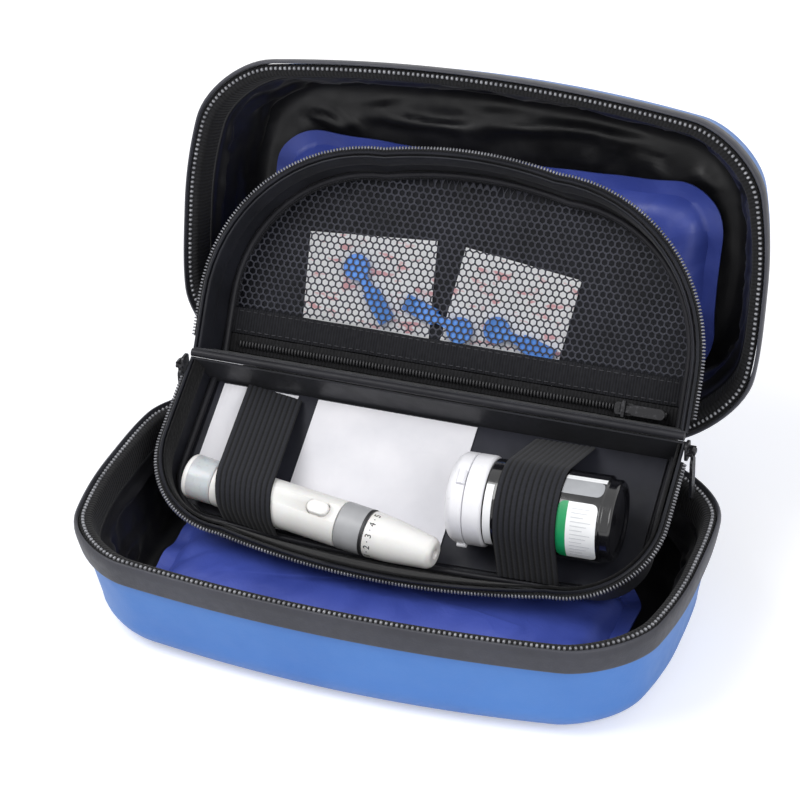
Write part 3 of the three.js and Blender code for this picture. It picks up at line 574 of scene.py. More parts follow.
label_green = plain_finish("label_green", "paper_white", (16, 138, 82), (26, 156, 96), 0.4, 0.03)
stitch_thread = plain_finish("stitch_thread", "tape_black", (40, 40, 44), (58, 58, 63), 0.8, 0.06, 0.4)
slider_enamel = slider_finish()


# Case halves
def case_ring(inset, z, hinge):
    half_x = CASE_LENGTH / 2 - SIDE_BOW - inset
    half_y = CASE_DEPTH / 2 - FRONT_BOW - inset
    p = rounded_loop(half_x, half_y, CORNER_RADIUS - inset / 2)
    u, v = p[:, 0] / half_x, p[:, 1] / half_y
    at_hinge = p[:, 1] * hinge > 0
    x = p[:, 0] + SIDE_BOW * u * (1 - np.abs(v) ** np.where(at_hinge, 4, 2))
    y = p[:, 1] + FRONT_BOW * v * (1 - np.abs(u) ** np.where(at_hinge, 6, 2))
    return xyz(x, y, z)


def draft_at(z):
    return WALL_DRAFT * max(0, (SHELL_TOP - z) / (SHELL_TOP - EDGE_ROUND))


def skin(depth, top, arc=9, wall=8):
    """Section of the shell from the floor's edge up the wall, at a depth below its outside."""
    radius = EDGE_ROUND - depth
    a = np.linspace(0, np.pi / 2, arc + 1)
    section = list(zip(WALL_DRAFT + EDGE_ROUND - radius * np.sin(a), EDGE_ROUND - radius * np.cos(a)))
    for t in np.arange(1, wall + 1) / wall:
        z = EDGE_ROUND + (top - EDGE_ROUND) * t
        section.append((depth + draft_at(z), z))
    return section


def rim_surface(section, hinge):
    rings = [case_ring(inset + draft_at(z), z, hinge) for inset, z in rounded(section)]
    return Surface().grid(rings, True, True)


def moulded_shell(side, hinge, matrix):
    outer, inner = skin(0, SHELL_TOP), skin(SHELL_WALL, SHELL_TOP)
    rings = [case_ring(inset, z, hinge) for inset, z in outer + inner[::-1]]
    shell = Surface().grid(rings, wrap_cols=True).cap(rings[0]).cap(rings[-1])
    build(f"{side}_moulded_shell", shell, matrix, side, blue_shell, f"{side}_shell")


def rim_band(side, hinge, matrix, foot_lean=0.2, foot_rise=1, bulge=0.1, top_lean=0.3, top_drop=1.2):
    foot, top = SHELL_HEIGHT - BAND_HEIGHT, SHELL_HEIGHT - GAP
    face = -GAP - BAND_THICKNESS
    band = rim_surface([
        (-GAP, foot), (face + foot_lean, foot), (face, foot + foot_rise),
        (face - bulge, (foot + top) / 2), (face, top - top_drop), (face + top_lean, top), (-GAP, top),
    ], hinge)
    build(f"{side}_band", band, matrix, side, grey_band, f"{side}_rim_band", 60)


def case_zip(side, hinge, matrix, cover=0.1, bend=0.6):
    """Tape that covers the rim of the shell, with the teeth standing on it."""
    tape_in = INNER_OFFSET + TAPE_THICKNESS
    tape = rim_surface([
        (INNER_OFFSET, TAPE_FOOT), (INNER_OFFSET, SHELL_TOP + GAP), (-cover, SHELL_TOP + cover),
        (-cover, BEAD_Z - cover), (2 * BEAD_RADIUS + GAP + TAPE_THICKNESS, BEAD_Z + GAP),
        (tape_in, SHELL_TOP - bend), (tape_in, TAPE_FOOT),
    ], hinge)
    build(f"{side}_tape", tape, matrix, side, zip_tape, f"{side}_zip_tape", 60)
    line = case_ring(BEAD_RADIUS + draft_at(BEAD_Z), BEAD_Z, hinge)
    teeth = tooth_row(line, CASE_TEETH, closed=True)
    build(f"{side}_teeth", teeth, matrix, side, teeth_silver, f"{side}_zip_teeth", 60)


def case_lining(side, hinge, matrix, pleat=0.8, corner_pleat=1.4, drape=2.2, most=3, tuck=0.5):
    """Cloth with pleats in the corners, drapes along the walls and its edge tucked under the tape."""
    top = TAPE_FOOT - GAP
    rings = []
    for inset, z in skin(CAVITY_OFFSET, top, 12, 26):
        ring = case_ring(inset, z, hinge)
        on_wall = smoothstep(z, CAVITY_OFFSET, 10) * (1 - smoothstep(z, top - 5, top))
        bend = np.abs(ring[:, 0] / ring[:, 0].max() * ring[:, 1] / ring[:, 1].max())
        pleats = creases(ring * (1, 1, 0.3), 15, 4 + (side == "lid"), 0.45)
        drapes = creases(ring * (0.4, 0.4, 1.2), 19, 14, 0.35)
        lift = (pleat + corner_pleat * smoothstep(bend, 0.3, 0.65)) * pleats + drape * drapes
        ring[:, :2] -= unit(ring[:, :2]) * (np.clip(lift, 0, most) * on_wall)[:, None]
        rings.append(ring)
    edge = TAPE_FOOT + tuck
    rings.append(case_ring(INNER_OFFSET + TAPE_THICKNESS / 2 + draft_at(edge), edge, hinge))

    def floor_folds(flat, share, long_fold=2.4, highest=2.6):
        """Folds of the floor, only beside the pack and away from the wall's foot."""
        beside_x = np.abs(flat[:, 0]) - (PACK_LENGTH / 2 - 4)
        beside_y = np.abs(flat[:, 1] - PACK_SHIFT[side]) - (PACK_DEPTH / 2 - WELD_WIDTH)
        folds = long_fold * creases(flat * (0.3, 1.1), 21, 17, 0.4) + creases(flat * (1, 0.5), 24, 18)
        beside = smoothstep(np.maximum(beside_x, beside_y), 0, 6)
        return np.clip(folds, 0, highest) * beside * smoothstep(1 - share, 0, 0.1)

    lining = Surface().grid(rings, wrap_cols=True).cap(rings[0], 44, floor_folds)
    cloth = build(f"{side}_lining_cloth", lining, matrix, side, lining_nylon, f"{side}_lining", 70, 0.4)


def pack_film(seed):
    """Film pouch: a puckered flat weld round a soft swell that draws the sides in."""
    weld_z = PACK_THICKNESS * WELD_LEVEL
    low, high = weld_z - WELD_HALF, weld_z + WELD_HALF
    reach = np.array([0, 1.2, 3.6, 5, 5.8, 7.2, 9, 12, 16, 20, 25])
    swell = np.interp(reach - WELD_WIDTH, [0, 1, 4, 11, 20], [0, 0.2, 0.58, 0.86, 1])

    def sag(flat):
        return 0.5 * (ripples(flat, 34, seed + 2) - 1)

    def ring(inset, z):
        half_x, half_y = PACK_LENGTH / 2 - inset, PACK_DEPTH / 2 - inset
        p = rounded_loop(half_x, half_y, PACK_CORNER - inset / 2, 16, 40)
        u, v = p[:, 0] / half_x, p[:, 1] / half_y
        flat = p - PACK_WAIST * np.stack([u * (1 - v * v), v * (1 - u * u)], -1)
        pucker = 0.9 * ripples(flat, 17, seed) * (1 - smoothstep(inset, 5, 14))
        ridge = 0.8 * creases(flat, 22, seed + 1) * smoothstep(inset, 4, 8) * (1 - smoothstep(inset, 12, 24))
        if z > weld_z:
            relief = pucker - ridge + sag(flat) * smoothstep(inset, 8, 20)
        else:
            relief = pucker + 0.3 * ridge
        return np.column_stack([flat, np.clip(z + relief, 0, PACK_THICKNESS)])

    up = [ring(r, high + k * (PACK_THICKNESS - high)) for r, k in zip(reach, swell)]
    down = [ring(r, low * (1 - k)) for r, k in zip(reach, swell)]
    rows = down[::-1] + up
    surface = Surface().grid(rows, wrap_cols=True)
    return surface.cap(rows[-1], 10, lambda flat, share: sag(flat) * (1 - share)).cap(rows[0], 6)


def gel_pack(side, matrix):
    where = matrix @ shift(0, PACK_SHIFT[side], CAVITY_OFFSET + GAP)
    surface = pack_film(PACK_SEED[side])
    film = build(f"{side}_gel_pouch", surface, where, side, gel_film, f"{side}_gel_pack", 50)


for half in (("base", 1, BASE), ("lid", -1, LID)):
    moulded_shell(*half)
    rim_band(*half)
    case_zip(*half)
    case_lining(*half)
    gel_pack(half[0], half[2])


# Organiser leaves
def leaf_path(half_width, depth, radius, bow, start, side=14, corner=16, front=14):
    """Outline of a leaf: straight sides, round corners and a bowed front."""
    corner_x, corner_s = half_width - radius, depth - bow - radius
    path = [(-half_width, start + (corner_s - start) * i / side) for i in range(side)]
    for a in np.linspace(0, math.pi / 2, corner + 1):
        path.append((-corner_x - radius * math.cos(a), corner_s + radius * math.sin(a)))
    for u in np.linspace(-1, 0, front + 1)[1:]:
        path.append((corner_x * u, depth - bow * u * u))
    return np.array(path + [(-x, s) for x, s in path[-2::-1]])


def leaf_wall(floor_path, rim_path, floor_z, sign):
    """Gives points of a leaf's wall from a share of its height and an offset outward."""
    foot = xyz(floor_path[:, 0], sign * floor_path[:, 1], floor_z)
    rise = xyz(rim_path[:, 0], sign * rim_path[:, 1], 0) - foot
    normal = unit(np.cross(rise, headings(foot)))

    def at(up, out, back=0):
        spots = foot + rise * up + normal * sign * np.reshape(out, (-1, 1))
        spots[[0, -1], 1] -= sign * back
        return spots
    at.rise = unit(rise)
    return at


def closed_ring(line, count=40):
    t = (np.arange(1, count) / count)[:, None]
    return np.vstack([line, line[-1] * (1 - t) + line[0] * t])


def leaf_shell(name, matrix, at, height, seed, lip=0.35, wave=0.5):
    top = 1 - LEAF_GAP / height
    levels = np.linspace(0, top, 9)
    outside = [closed_ring(at(up, LEAF_WALL, LEAF_WALL)) for up in levels]
    outside[0][:, 2] = -height - LEAF_WALL
    inside = []
    for up in levels[::-1]:
        fade = smoothstep(up, 0, 0.25) * (1 - smoothstep(up, 0.5, 0.75))
        inside.append(closed_ring(at(up, -wave * fade * np.clip(ripples(at(up, 0), 16, seed), 0, 1))))
    middle = closed_ring(at(top + lip / height, LEAF_WALL / 2, LEAF_WALL / 2))
    rings = outside + [middle] + inside
    shell = Surface().grid(rings, wrap_cols=True).cap(rings[0], 10).cap(rings[-1], 10)
    build(f"{name}_cloth_shell", shell, matrix, name, leaf_nylon, f"{name}_shell", 50)


def leaf_zip(name, matrix, at, height, tape_material, crown=0.2, bulge=0.1, edge_out=0.5, edge_radius=0.75):
    rim = 1 - LEAF_GAP / height
    top = rim - GAP / height
    foot = top - LEAF_TAPE_HEIGHT / height
    face, back = -2 * GAP, -2 * GAP - TAPE_THICKNESS
    section = rounded([
        (foot, face), (top, face), (top + crown / height, (face + back) / 2), (top, back),
        ((top + foot) / 2, back - bulge), (foot, back),
    ], 1)
    tape = loft([at(up, out) for up, out in section])
    build(f"{name}_tape", tape, matrix, name, tape_material, f"{name}_zip_tape", 60)
    between_ends = slice(3, -3)
    bead_up = rim - BEAD_RADIUS / height
    line = at(bead_up, LEAF_WALL + GAP + BEAD_RADIUS)[between_ends]
    teeth = tooth_row(line, LEAF_TEETH, at.rise[between_ends])
    build(f"{name}_teeth", teeth, matrix, name, teeth_grey, f"{name}_zip_teeth", 60)
    edge = tube(at(bead_up, LEAF_WALL + edge_out)[between_ends], edge_radius, 8)
    build(f"{name}_tape_edge", edge, matrix, name, zip_tape)


def piping(name, matrix, at, height, foot):
    out = -BEAD_RADIUS - GAP
    above = foot + GAP + BEAD_RADIUS
    cord = loft([at((above + u) / height, out + v) for u, v in circle(BEAD_RADIUS, 12)])
    build(f"{name}_piping_cord", cord, matrix, name, cord_nylon, f"{name}_piping", 60)


tray_wall = leaf_wall(
    leaf_path(TRAY_FLOOR_HALF, TRAY_FLOOR_DEPTH, TRAY_FLOOR_CORNER, TRAY_FLOOR_BOW, LEAF_START),
    leaf_path(RIM_HALF_WIDTH, TRAY_DEPTH, TRAY_RIM_CORNER, TRAY_RIM_BOW, LEAF_START), -TRAY_HEIGHT, -1,
)
flap_wall = leaf_wall(
    leaf_path(FLAP_FLOOR_HALF, FLAP_FLOOR_DEPTH, FLAP_FLOOR_CORNER, FLAP_FLOOR_BOW, LEAF_START),
    leaf_path(RIM_HALF_WIDTH, FLAP_DEPTH, FLAP_RIM_CORNER, FLAP_RIM_BOW, LEAF_START), -FLAP_HEIGHT, 1,
)
for name, matrix, wall, height, seed, tape_material, piping_foot in (
    ("tray", TRAY, tray_wall, TRAY_HEIGHT, 21, knit_tape, 0),
    ("flap", FLAP, flap_wall, FLAP_HEIGHT, 22, leaf_nylon, FLAP_HEIGHT + NET_FRONT),
):
    leaf_shell(name, matrix, wall, height, seed)
    leaf_zip(name, matrix, wall, height, tape_material)
    piping(name, matrix, wall, height, piping_foot)
fold_line = xyz(np.linspace(-RIM_HALF_WIDTH, RIM_HALF_WIDTH, 90), 0, 0)
fold_cord = tube(fold_line, CORD_RADIUS, 14)
build("fold_cord", fold_cord, TRAY, "tray", cord_nylon, "organiser_fold_cord")


# Net pocket
def nearest_on(outline, points):
    """Points pushed back onto a convex outline where they lie outside it."""
    edge = np.roll(outline, -1, axis=0) - outline
    keep = (edge ** 2).sum(axis=1) > 1e-9
    start, edge = outline[keep], edge[keep]
    rel = points[:, None] - start[None]
    outside = (edge[:, 0] * rel[..., 1] - edge[:, 1] * rel[..., 0] > 0).any(axis=1)
    t = np.clip((rel * edge).sum(-1) / (edge ** 2).sum(-1), 0, 1)
    near = start + edge * t[..., None]
    best = np.linalg.norm(points[:, None] - near, axis=-1).argmin(axis=1)
    moved = points.copy()
    moved[outside] = near[np.arange(len(points)), best][outside]
    return moved, outside


def net_height(flat, inset=0.35, fold=0.9, waver=0.25):
    s = flat[:, 1]
    low_end = smoothstep(s, NET_START, NET_START + 10)
    slack = low_end * (1 - smoothstep(s, FLAP_FLOOR_DEPTH - 12, FLAP_FLOOR_DEPTH))
    folds = fold * creases(flat * (1, 0.35), 38, 31, 0.35) + waver * ripples(flat, 30, 33)
    return NET_FRONT - inset + slack * folds


def net_surface(outline, pitch=2.5, cord=0.52):
    """Six-sided gaps, each with its share of the cords, left out where most of it is past the outline."""
    a = np.arange(6) * math.pi / 3
    corner = pitch / math.sqrt(3) * np.stack([np.sin(a), np.cos(a)], -1)
    inner = corner * (1 - cord / pitch)
    row_pitch = pitch * 0.866
    rows = int((FLAP_FLOOR_DEPTH - NET_START) / row_pitch) + 2
    columns = int(NET_HALF / pitch) + 2
    surface = Surface()
    for row in range(-1, rows):
        for column in range(-columns, columns + 1):
            centre = np.array([(column + (row % 2) / 2) * pitch, NET_START + row * row_pitch])
            ring, outside = nearest_on(outline, np.vstack([centre + corner, centre + inner]))
            if outside[:6].sum() <= 3:
                points = np.column_stack([ring, net_height(ring)])
                surface.grid([points[:6], points[6:]], wrap_cols=True)
    return surface


def strip(low, high, thickness, seed, columns=90, waver=0.12, lift=0.15, highest=0.1):
    """Woven strip across the pocket with rounded edges and a slight waver."""
    x = np.linspace(-NET_HALF, NET_HALF, columns)
    middle, half = (low + high) / 2, (high - low) / 2
    rows = []
    for u, v in rounded([(-1, 0), (1, 0), (1, 1), (-1, 1)]):
        y = middle + half * u + waver * ripples(np.stack([x, np.full(columns, u * 3)], -1), 26, seed)
        rise = np.minimum(lift * ripples(np.stack([x, y], -1), 22, seed + 1) * v, highest)
        rows.append(xyz(x, np.clip(y, low, high), NET_BACK + thickness * v + rise))
    return loft(rows)


def across_pocket(inset, s, rise):
    return xyz(np.linspace(-NET_HALF + inset, NET_HALF - inset, 60), s, NET_BACK + rise)


net_outline = leaf_path(NET_HALF, FLAP_FLOOR_DEPTH - GAP, FLAP_FLOOR_CORNER, FLAP_FLOOR_BOW, NET_START)
net = net_surface(net_outline)
pocket = build("pocket_mesh", net, FLAP, "flap", net_nylon, "pocket_net", 60, -0.3)
hem = tube(np.insert(net_outline, 2, NET_FRONT - GAP, axis=1), HEM_RADIUS, 8, HEM_FLATNESS)
build("pocket_hem", hem, FLAP, "flap", band_weave)
band = strip(BAND_START, NET_START - GAP, BAND_RISE, 41)
build("pocket_woven_band", band, FLAP, "flap", band_weave, "pocket_band", 60)
tape_low, tape_high = LEAF_START + GAP, BAND_START - GAP
tape = strip(tape_low, tape_high, POCKET_TAPE_RISE, 43)
build("pocket_tape", tape, FLAP, "flap", zip_tape, "pocket_zip_tape", 60)
zip_line = across_pocket(POCKET_TEETH_INSET, (tape_low + tape_high) / 2, POCKET_TEETH_RISE)
teeth = tooth_row(zip_line, POCKET_TEETH)
build("pocket_teeth", teeth, FLAP, "flap", dark_line, "pocket_zip_teeth", 60)
for number, s in enumerate((BAND_START + SEAM_INSET, NET_START - GAP - SEAM_INSET), 1):
    seam = tooth_row(across_pocket(SEAM_END, s, SEAM_RISE), STITCHES)
    build(f"band_stitches_{number}", seam, FLAP, "flap", stitch_thread)


# Straps
def strap(side, x, lean, slope, centre_s, centre_h, radius, lift=0.5, groove=0.24):
    """Ribbed elastic from the fold side over a round piece down to the front of the floor."""
    half = STRAP_THICKNESS / 2
    start = np.array([LEAF_START + STRAP_BACK_INSET, GAP + lift + half])
    finish = np.array([TRAY_FLOOR_DEPTH - STRAP_FRONT_INSET + half, STRAP_FRONT_INSET + 3 * GAP])
    reach = radius + GAP + half
    centre = np.array([centre_s, centre_h])

    def touch(point, sign):
        ray = point - centre
        angle = math.atan2(ray[1], ray[0]) + sign * math.acos(min(1, reach / np.linalg.norm(ray)))
        return angle % (2 * math.pi)

    a = np.linspace(touch(start, -1), touch(finish, 1), 40)
    path = np.vstack([start, centre + reach * np.stack([np.cos(a), np.sin(a)], -1), finish])
    along = path_length(path)
    t = np.linspace(0, along[-1], 84)
    path = np.stack([np.interp(t, along, path[:, k]) for k in range(2)], -1)
    tangent = np.gradient(path, axis=0)
    normal = unit(np.stack([-tangent[:, 1], tangent[:, 0]], -1))
    w = np.linspace(-0.5, 0.5, STRAP_RIBS * 5 + 1)
    rib = 0.5 + 0.5 * np.cos(2 * np.pi * STRAP_RIBS * w)
    edge = np.sqrt(np.clip(1 - (np.abs(w) * 2) ** 14, 0.05, 1))
    depth = (half - groove * (1 - rib)) * edge

    def face(sign):
        rows = []
        for wide, deep in zip(w * STRAP_WIDTH, depth):
            s, h = (path + normal * sign * deep).T
            rows.append(xyz(x + wide + lean * (s - centre_s), -s - slope * wide, h + FLOOR_TOP))
        return rows

    elastic = loft(face(1) + face(-1)[::-1])
    build(f"elastic_{side}", elastic, TRAY, "tray", elastic_rib, f"strap_{side}", 60)


bottle_slope = -math.tan(math.radians(BOTTLE_TURN))
strap(
    "left", PEN_REAR_X + STRAP_ON_PEN, LEFT_LEAN, PEN_SLOPE, PEN_REAR_S + PEN_SLOPE * STRAP_ON_PEN,
    PEN_LIFT + PEN_RADIUS, PEN_RADIUS,
)
strap(
    "right", BOTTLE_X + STRAP_ON_BOTTLE, RIGHT_LEAN, bottle_slope,
    BOTTLE_S + bottle_slope * STRAP_ON_BOTTLE, GAP + CAP_RADIUS, BOTTLE_RADIUS,
)


# Flat supplies
def pouch(width, length, thickness, crimp, seed, columns=64, rows=56):
    """Flat paper pouch: crimped sealed border round a slightly filled middle."""
    x, y = np.meshgrid(np.linspace(-0.5, 0.5, columns), np.linspace(-0.5, 0.5, rows))
    flat = np.stack([x * width, y * length], -1)
    border = np.minimum(width / 2 - np.abs(flat[..., 0]), length / 2 - np.abs(flat[..., 1]))
    filled = smoothstep(border, crimp, crimp + 6)
    edge_rib = 0.12 * np.sin(flat[..., 0] * 2 * np.pi / 1.6) * (border < crimp)
    fold = creases(flat * (1, 0.25), 30, seed + 7, 0.12) * filled
    body = 0.5 + filled * (0.3 + 0.2 * ripples(flat, 15, seed)) - 0.3 * fold + edge_rib
    top = thickness * np.clip(body, 0.35, 1)
    return plate(xyz(*np.moveaxis(flat, -1, 0), 0), xyz(*np.moveaxis(flat, -1, 0), top))


# Places and sizes are shares of the leaf that holds the piece
SACHET_CRIMP, PAD_CRIMP = 2.4, 3
for name, x, s, width, length, seed in (
    ("left", -0.77, 0.375, 0.33, 0.65, 54), ("right", -0.172, 0.49, 0.69, 0.88, 57),
):
    where = TRAY @ shift(x * TRAY_FLOOR_HALF, -s * TRAY_FLOOR_DEPTH, FLOOR_TOP + GAP)
    paper = pouch(width * TRAY_FLOOR_HALF, length * TRAY_FLOOR_DEPTH, SACHET_THICKNESS, SACHET_CRIMP, seed)
    build(f"sachet_{name}", paper, where, "tray", white_paper, f"paper_sachet_{name}", 50)
for name, x, s, width, length, turned, seed in (
    ("left", -0.426, 0.41, 0.568, 0.52, 4, 117), ("right", 0.2, 0.4, 0.52, 0.5, -7, 113),
):
    where = FLAP @ shift(x * FLAP_FLOOR_HALF, s * FLAP_FLOOR_DEPTH, -FLAP_HEIGHT + GAP) @ turn(turned, "Z")
    paper = pouch(width * FLAP_FLOOR_HALF, length * FLAP_FLOOR_DEPTH, PAD_THICKNESS, PAD_CRIMP, seed)
    build(f"pad_{name}", paper, where, "flap", pad_paper, f"prep_pad_{name}", 50)


# Round pieces
def lathe(profile, steps, least=1e-4):
    """Round piece about X from (x, radius) points; a profile off the axis closes on itself."""
    a = 2 * np.pi * np.arange(steps) / steps
    rows = [xyz(x, max(r, least) * np.cos(a), max(r, least) * np.sin(a)) for x, r in profile]
    return Surface().grid(rows, wrap_rows=profile[0][1] > 0, wrap_cols=True)


def eased(profile, size):
    """Profile with each corner replaced by a short round."""
    p = np.asarray(profile, float)
    out = []
    for i, here in enumerate(p):
        if here[1] == 0:
            out.append(tuple(here))
            continue
        a, b = p[i - 1] - here, p[(i + 1) % len(p)] - here
        la, lb = np.linalg.norm(a), np.linalg.norm(b)
        start, end = here + a / la * min(size, la * 0.4), here + b / lb * min(size, lb * 0.4)
        for t in (0, 0.33, 0.67, 1):
            out.append(tuple((1 - t) ** 2 * start + 2 * t * (1 - t) * here + t * t * end))
    return out


def pen_piece(name, body, material, node, profile, ease=0.35):
    return build(name, lathe(eased(profile, ease), 80), PEN, body, material, node)


def bottle_piece(name, body, material, node, profile, ease=0.35):
    build(name, lathe(eased(profile, ease), 110), BOTTLE, body, material, node)


def capsule(length, width, low, high, dome, sides=48):
    """Oval button standing on Z with a rounded top edge."""
    radius = width / 2
    outline = circle(radius, sides)
    outline[:, 0] += np.where(np.abs(outline[:, 0]) > 1e-6, np.sign(outline[:, 0]) * (length / 2 - radius), 0)
    rows = [np.insert(outline, 2, low, axis=1)]
    for t in np.linspace(0, np.pi / 2, 5):
        ring = outline * (1 - dome / radius * (1 - math.cos(t)) * 0.9)
        rows.append(np.insert(ring, 2, high - dome * (1 - math.sin(t)), axis=1))
    return Surface().grid(rows, wrap_cols=True).cap(rows[-1], 5).cap(rows[0], 3)


def cut_with(obj, tool):
    """Takes a tool's shape out of an object and keeps the result as its mesh."""
    boolean = obj.modifiers.new("cut", "BOOLEAN")
    boolean.object, boolean.operation, boolean.solver = tool, "DIFFERENCE", "EXACT"
    bpy.context.view_layer.update()
    shaped = bpy.data.meshes.new_from_object(obj.evaluated_get(bpy.context.evaluated_depsgraph_get()))
    obj.modifiers.remove(boolean)
    obj.data = shaped
    bpy.data.objects.remove(tool)


# Lancing pen: lengths along it from the rear end, with profiles that step in and out from its radius
PEN_END = 0.12 * PEN_LENGTH
RING_LENGTH = 0.1075 * PEN_LENGTH
RING_START = PEN_LENGTH * (1 - 0.258) - RING_LENGTH
RING_END = RING_START + RING_LENGTH
BUTTON_X = RING_START - 0.082 * PEN_LENGTH
BUTTON_LENGTH, BUTTON_WIDTH, BUTTON_FOOT, BUTTON_RISE = 8, 5, 6.5, 0.9
BARREL_START, BARREL_END, DIAL_START = PEN_END + GAP, RING_START - GAP, RING_END + GAP
DIAL_RADIUS, DIAL_SHOULDER, DIAL_FALL = PEN_RADIUS - 0.1, 8, 0.5
STEM_RADIUS, STEM_END = PEN_BORE - GAP, PEN_END + 10
barrel = pen_piece("pen_body", "tray", cream_plastic, "pen_barrel", [
    (BARREL_START, PEN_BORE), (BARREL_START, PEN_RADIUS - 0.5), (BARREL_START + 6, PEN_RADIUS - 0.2),
    (BARREL_END, PEN_RADIUS), (BARREL_END, PEN_BORE),
])
at_button = PEN @ shift(BUTTON_X, 0, 0)
slot_tool = capsule(BUTTON_LENGTH + 2 * GAP, BUTTON_WIDTH + 2 * GAP, 0, 1.5 * PEN_RADIUS, 0.1)
cut_with(barrel, build("slot_tool", slot_tool, at_button, "tray", dark_line))
button = capsule(BUTTON_LENGTH, BUTTON_WIDTH, BUTTON_FOOT, PEN_RADIUS + BUTTON_RISE, 0.7)
build("pen_button", button, at_button, "pen_release_button", cream_plastic, "pen_release_button", 50)
pen_piece("pen_grey_ring", "tray", grey_plastic, "pen_ring", [
    (RING_START, PEN_BORE), (RING_START, PEN_RADIUS + 0.1), (RING_END, PEN_RADIUS), (RING_END, PEN_BORE),
])
pen_piece("pen_black_line", "tray", dark_line, None, [
    (RING_END - 0.9, PEN_RADIUS - 0.3), (RING_END - 0.9, PEN_RADIUS + 0.06),
    (RING_END + 0.1, PEN_RADIUS + 0.06), (RING_END + 0.1, PEN_RADIUS - 0.3),
], 0.05)
pen_piece("pen_dial", "pen_depth_dial", cream_plastic, "pen_depth_dial", [
    (DIAL_START, PEN_BORE), (DIAL_START, DIAL_RADIUS), (DIAL_START + DIAL_SHOULDER, DIAL_RADIUS - DIAL_FALL),
    (PEN_LENGTH - 1.5, 5.4), (PEN_LENGTH, 4.2), (PEN_LENGTH, 1.5), (PEN_LENGTH - 3, 1.5),
    (PEN_LENGTH - 4, PEN_BORE - 1.6),
], 0.6)
pen_piece("pen_rear_end", "pen_plunger", clear_plastic, "pen_cocking_end", [
    (0, 0), (0, PEN_RADIUS - 2.4), (0.8, PEN_RADIUS - 0.9), (2.2, PEN_RADIUS - 0.3),
    (PEN_END, PEN_RADIUS - 0.5), (PEN_END, STEM_RADIUS), (STEM_END, STEM_RADIUS), (STEM_END, 0),
], 0.7)
pen_piece("pen_end_rim", "pen_plunger", cream_plastic, None, [
    (0.5, PEN_RADIUS - 2), (0.5, PEN_RADIUS - 1), (1.3, PEN_RADIUS - 0.4), (2.4, PEN_RADIUS - 0.22),
    (2.4, PEN_RADIUS - 2),
], 0.2)


def dial_marks(count=5, apart=30, x=2.1, size=3.1, depth=0.04):
    """Raised numbers with dots between them, wrapped round the dial."""
    surface = Surface()
    for k in range(2 * count - 1):
        curve = bpy.data.curves.new("mark", "FONT")
        curve.body, curve.size, curve.extrude = "." if k % 2 else str(k // 2 + 1), size, depth
        text = bpy.data.objects.new("mark", curve)
        shape = bpy.data.meshes.new_from_object(text)
        bpy.data.objects.remove(text)
        flat = np.array([v.co for v in shape.vertices])
        flat[:, :2] -= (flat[:, :2].min(axis=0) + flat[:, :2].max(axis=0)) / 2
        angle = math.radians((k / 2 - (count - 1) / 2) * apart) + flat[:, 0] / PEN_RADIUS
        from_start = x - flat[:, 1]
        radius = DIAL_RADIUS - DIAL_FALL * from_start / DIAL_SHOULDER + depth + flat[:, 2]
        wrapped = xyz(DIAL_START + from_start, radius * np.sin(angle), radius * np.cos(angle))
        surface.polygons(wrapped, [list(face.vertices) for face in shape.polygons], flat)
    return surface


at_marks = PEN @ turn(28, "X")
build("dial_numbers", dial_marks(), at_marks, "pen_depth_dial", dark_line, smooth=False)

# Strip bottle
COLLAR_START = CAP_LENGTH + GAP
COLLAR_END = COLLAR_START + COLLAR_LENGTH
NECK_RADIUS = CAP_RADIUS - CAP_WALL - GAP
MOUTH_RADIUS = NECK_RADIUS - 1.6
HOLLOW_END, BASE_X = BOTTLE_LENGTH - 2.6, BOTTLE_LENGTH - 1
KNUCKLE_X, KNUCKLE_HALF, KNUCKLE_RADIUS = 5.1, 2.5, 1.5
TAB_X, TAB_ANGLE, TAB_RADIUS, TAB_FLATNESS = (3.4, 4.2, 5.0, 5.8, 6.5), math.radians(112), 1.2, 0.9
bottle_piece("bottle_body", "tray", black_plastic, "bottle_barrel", [
    (COLLAR_START, MOUTH_RADIUS), (COLLAR_START, NECK_RADIUS), (COLLAR_END + GAP, NECK_RADIUS),
    (COLLAR_END + GAP, BOTTLE_RADIUS), (BOTTLE_LENGTH - 4, BOTTLE_RADIUS),
    (BOTTLE_LENGTH - 3.4, BOTTLE_RADIUS - 1), (BOTTLE_LENGTH - 0.8, BOTTLE_RADIUS - 1),
    (BOTTLE_LENGTH, BOTTLE_RADIUS - 1.8), (BOTTLE_LENGTH, BOTTLE_RADIUS - 3),
    (BASE_X, BOTTLE_RADIUS - 3.6), (BASE_X, 0.2), (HOLLOW_END, 0.2), (HOLLOW_END, MOUTH_RADIUS),
])
bottle_piece("bottle_ring", "tray", cap_plastic, "bottle_collar", [
    (COLLAR_START, NECK_RADIUS + GAP), (COLLAR_START, CAP_RADIUS), (COLLAR_END - 0.8, CAP_RADIUS),
    (COLLAR_END, CAP_RADIUS - 0.6), (COLLAR_END, NECK_RADIUS + GAP),
])
bottle_piece("bottle_cap", "bottle_lid", cap_plastic, "bottle_lid", [
    (0, 0), (0, CAP_RADIUS - 3.4), (0.9, CAP_RADIUS - 1.4), (2.8, CAP_RADIUS), (CAP_LENGTH, CAP_RADIUS),
    (CAP_LENGTH, MOUTH_RADIUS), (2, MOUTH_RADIUS), (2, 0),
], 0.6)
tab_line = xyz(TAB_X, -CAP_RADIUS * math.sin(TAB_ANGLE), CAP_RADIUS * math.cos(TAB_ANGLE))
build("cap_tab", tube(tab_line, TAB_RADIUS, 16, TAB_FLATNESS), BOTTLE, "bottle_lid", cap_plastic)
knuckle_line = xyz(KNUCKLE_X, np.linspace(-KNUCKLE_HALF, KNUCKLE_HALF, 9), CAP_RADIUS)
build("cap_knuckle", tube(knuckle_line, KNUCKLE_RADIUS, 18, up=(1, 0, 0)), BOTTLE, "bottle_lid", cap_plastic)


